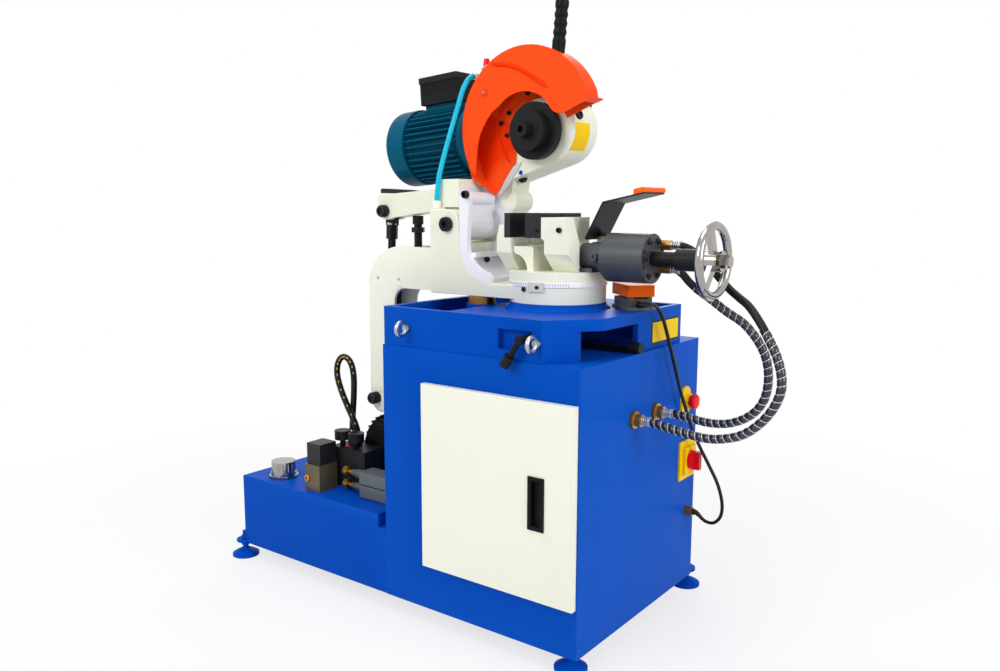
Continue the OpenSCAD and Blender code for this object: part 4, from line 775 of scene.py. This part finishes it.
def add_coolant_pipe():
    """Thin pipe from the tap to the guard, and the ferrule and cup at the hose's two ends."""
    route, radius = [(10, -24, 1398), (26, -30, 1403), (46, -42, 1402), (66, -56, 1391)], 3.6
    ferrule = ((8.4, 0.2), (9.2, 1), (9.2, 8), (7.2, 10))
    cup = ((11, 0), (12, 1), (12, 19), (11, 21), (7.4, 21))
    bm = bmesh.new()
    tube(bm, smooth_path(route, 4), radius, 16)
    piece("coolant_pipe", bm, "zinc_sheet", "head", edge=None, sharp=50)
    bm = bmesh.new()
    lathe(bm, COOLANT[0], (0, -1, 0), ferrule, 24)
    piece("coolant_ferrule", bm, "zinc_sheet", "head", edge=None, sharp=35)
    bm = bmesh.new()
    lathe(bm, COOLANT[-1], Z, cup, 28)
    piece("coolant_cup", bm, "cream_paint", "swivel", edge=None, sharp=35)


add_bead("guard_front_bead", FRONT_BEAD, GUARD_FRONT, 5.5)
add_bead("guard_back_bead", BACK_BEAD, GUARD_BACK, 4.5)
add_turned("guard_washer", "saw_guard", GUARD_WASHER_AT, WASHER, "orange_paint")
add_screws("guard_washer_screw", "saw_guard", [GUARD_WASHER_AT], 9, "machined_steel", head=5.4)
add_screws("guard_bolts", "saw_guard", GUARD_BOLTS_AT, 11)
add_turned("case_oil_plug", "head_casting", (380, -14, 1303), OIL_PLUG, "black_plastic", (-0.92, 0, -0.38))
add_turned("case_drain_plug", "head_casting", (120, 6, 1060), DRAIN_PLUG, "black_plastic", Z, 6)
add_turned("case_sight", "head_casting", (142, -80, 1131), SIGHT, "blue_paint")
add_case_plate()
add_worm_cover()
add_tail_strip()
add_coolant_pipe()


# Swivel table and vise

SCALE_R, SCALE_Z, SCALE_H = 121.1, 856.8, 9


def add_table_scale():
    """Bright scale band with ticks round the table."""
    bm = bmesh.new()
    band = ((SCALE_R - 1, 0), (SCALE_R + 0.5, 0.3), (SCALE_R + 0.5, SCALE_H), (SCALE_R - 1, SCALE_H + 0.3))
    lathe(bm, (*TABLE_AXIS, SCALE_Z), Z, band, 96)
    piece("scale_band", bm, "cast_aluminium", "base", edge=None, sharp=35)
    swing, every, long_every, ahead = 45, 3, 15, -90
    short, long, top, half = 861, 858.5, 866, math.degrees(0.35 / SCALE_R)
    bm = bmesh.new()
    for k in range(-swing, swing + 1, every):
        foot = short if k % long_every else long
        ring_plate(bm, SCALE_R + 0.45, k + ahead - half, k + ahead + half, foot, top, 0.25, 1)
    piece("scale_ticks", bm, "black_plastic", "base", edge=None, sharp=35)


def add_scale_pointer():
    """Pointer plate on the swivel arm, with its foot and two screws."""
    plate_r, foot_r, screw_h = 121.9, 118.6, 4.5
    bm = bmesh.new()
    ring_plate(bm, plate_r, -92.4, -72.7, 846, 868, 1.2)
    ring_plate(bm, foot_r, -92, -73, 847, 854, 3.6)
    piece("scale_pointer", bm, "zinc_sheet", "swivel", edge=None, sharp=35)
    bm = bmesh.new()
    for turn, z, d, reach in ((-80.7, 857, 9, 123), (-99.5, 850.5, 12, 118.8)):
        out = Vector((math.cos(math.radians(turn)), math.sin(math.radians(turn)), 0))
        socket_screw(bm, Vector((*TABLE_AXIS, z)) + out * reach, out, d, screw_h)
    piece("pointer_screws", bm, "black_steel", "swivel", edge=None, sharp=30)


def add_cylinder_screws():
    """Six screws on the end face of the vise cylinder."""
    beyond_end, circle_r, count = 620, 44, 6
    ring = arc((VISE_Y, VISE_Z), circle_r, 0, 360, count)[:count]
    places = [(beyond_end, y, z) for y, z in ring]
    add_screws("cylinder_screws", "vise_cylinder", places, 11, towards=(-1, 0, 0))


def add_deflector_trim():
    """Orange edge strip on the deflector's end, and the nut and washer on its post."""
    post, nut_z, washer_z = (357, 14), 956, 970.4
    strip_back, strip_l = 69, 108
    nut = ((15, 0), (16.5, 1.5), (16.5, 12.5), (15, 14))
    washer = ((16, 0), (17.5, 0.6), (17.5, 2.8), (16, 3.4))
    at, out = seat("chip_deflector", (480, 15, 1200), (0, 0, -1))
    rounded = [(-13, -0.2), (17, -0.2), *arc((12, 6), 6, -20, 90, 6), *arc((-8, 8), 4, 90, 180, 6)]
    bm = bmesh.new()
    prism(bm, rounded, (at.x, strip_back, at.z), (out.z, 0, -out.x), out, strip_l)
    piece("deflector_edge", bm, "orange_plastic", "base", edge=0.8)
    bm = bmesh.new()
    lathe(bm, (*post, nut_z), Z, nut, 6)
    piece("deflector_nut", bm, "zinc_sheet", "base", edge=0.5)
    bm = bmesh.new()
    lathe(bm, (*post, washer_z), Z, washer)
    piece("deflector_washer", bm, "bronze", "base", edge=None, sharp=35)


add_table_scale()
add_scale_pointer()
add_screws("jaw_screw", "jaw_right", [(336, -200, 991)], 13)
add_screws("jaw_plate_screw", "jaw_right_plates", [(274, -200, 990)], 9)
add_screws("rod_ring_screw", "vise_cylinder", [(403, -160, 929)], 20, "cylinder_black")
add_cylinder_screws()
add_deflector_trim()


# Head hinge, chip trough and feed linkage

HINGE_CAP = ((18.5, -3.7), (19, -2.5), (18, 1), (14, 2.6), (9, 2.8), (8, 0.6), (0, 0.6))
PIN_HEAD = ((15, -0.3), (15.5, 1), (15.5, 3), (13, 6), (8.5, 6), (8, 3), (0, 3))


def add_rod_sleeve():
    """Bright hexagon sleeve on the feed rod, below its pin."""
    below_pin = 71
    profile = ((13, 0), (15, 2), (15, 12), (16.5, 13), (16.5, 36), (14, 39))
    axis = (FEED_TOP - FEED_FOOT).normalized()
    bm = bmesh.new()
    lathe(bm, FEED_TOP - axis * below_pin, axis, profile, 6)
    piece("rod_sleeve", bm, "zinc_sheet", "feed_rod", edge=0.5)


def add_lever_plate():
    """Black tapered bar on top of the feed lever."""
    wedge = ((-309, -0.2), (-142, -0.2), (-142, 2), (-225, 9), (-303, 13), (-309, 11))
    back, width = -40, 40
    at, _ = seat("head_casting", (-225, -60, 1300), (0, 0, -1))
    bm = bmesh.new()
    prism(bm, wedge, (0, back, at.z), X, Z, width)
    piece("lever_plate", bm, "black_steel", "head", edge=1.2)


add_turned("hinge_cap", "hinge_pin", (HINGE_X, -240, HINGE_Z), HINGE_CAP, "black_steel")
add_screws("trough_bar_screw", "chip_trough", [(69, -240, 1075)], 20)
add_screws("trough_wall_screw", "chip_trough", [(160, -82, 918)], 15, towards=(-1, 0, -0.1))
add_turned("lever_pin_head", "feed_rod", (FEED_TOP.x, -200, FEED_TOP.z), PIN_HEAD, "black_steel")
add_turned("clevis_pin_head", "feed_barrel", (FEED_FOOT.x, -200, FEED_FOOT.z), PIN_HEAD, "black_steel")
add_rod_sleeve()
add_lever_plate()


# Tray and hydraulic unit

LAMP = ((5, -0.3), (5, 2), (3.4, 4), (0, 4.4))


def add_tray_plate():
    """Blank plate with a dark border on the tray's right side."""
    side, lo, hi = 490, (28, 714), (176, 771)
    layers = (("tray_plate_border", "black_plastic", 0, 0.8), ("tray_plate", "yellow_plastic", 4, 1.3))
    for name, slot, inset, thick in layers:
        bm = bmesh.new()
        slab(bm, (side - 0.1, lo[0] + inset, lo[1] + inset), (side + thick, hi[0] - inset, hi[1] - inset))
        piece(name, bm, slot, "base", edge=0.3)


def add_port_plug():
    """Brass ring plug round the mouth of the manifold block's port."""
    port = next(m for m in frame["record"]["mounts"] if m["name"] == "manifold_port")
    bore = port["dims"]["r_mm"]
    profile = ((bore + 5.5, -0.3), (bore + 5.5, 3), (bore + 4.5, 4), (bore + 1.1, 4), (bore + 0.7, 0.4))
    at = Vector(port["pos_m"]) / MM
    at.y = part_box("manifold_block")[0][1] / MM
    bm = bmesh.new()
    lathe(bm, at, port["axis"], profile)
    piece("manifold_plug", bm, "bronze", "base", edge=None, sharp=35)


add_tray_plate()
add_port_plug()
add_turned("valve_lamp", "valve_stack", (-352, -190, 560), LAMP, "red_plastic", (0, 0, -1))
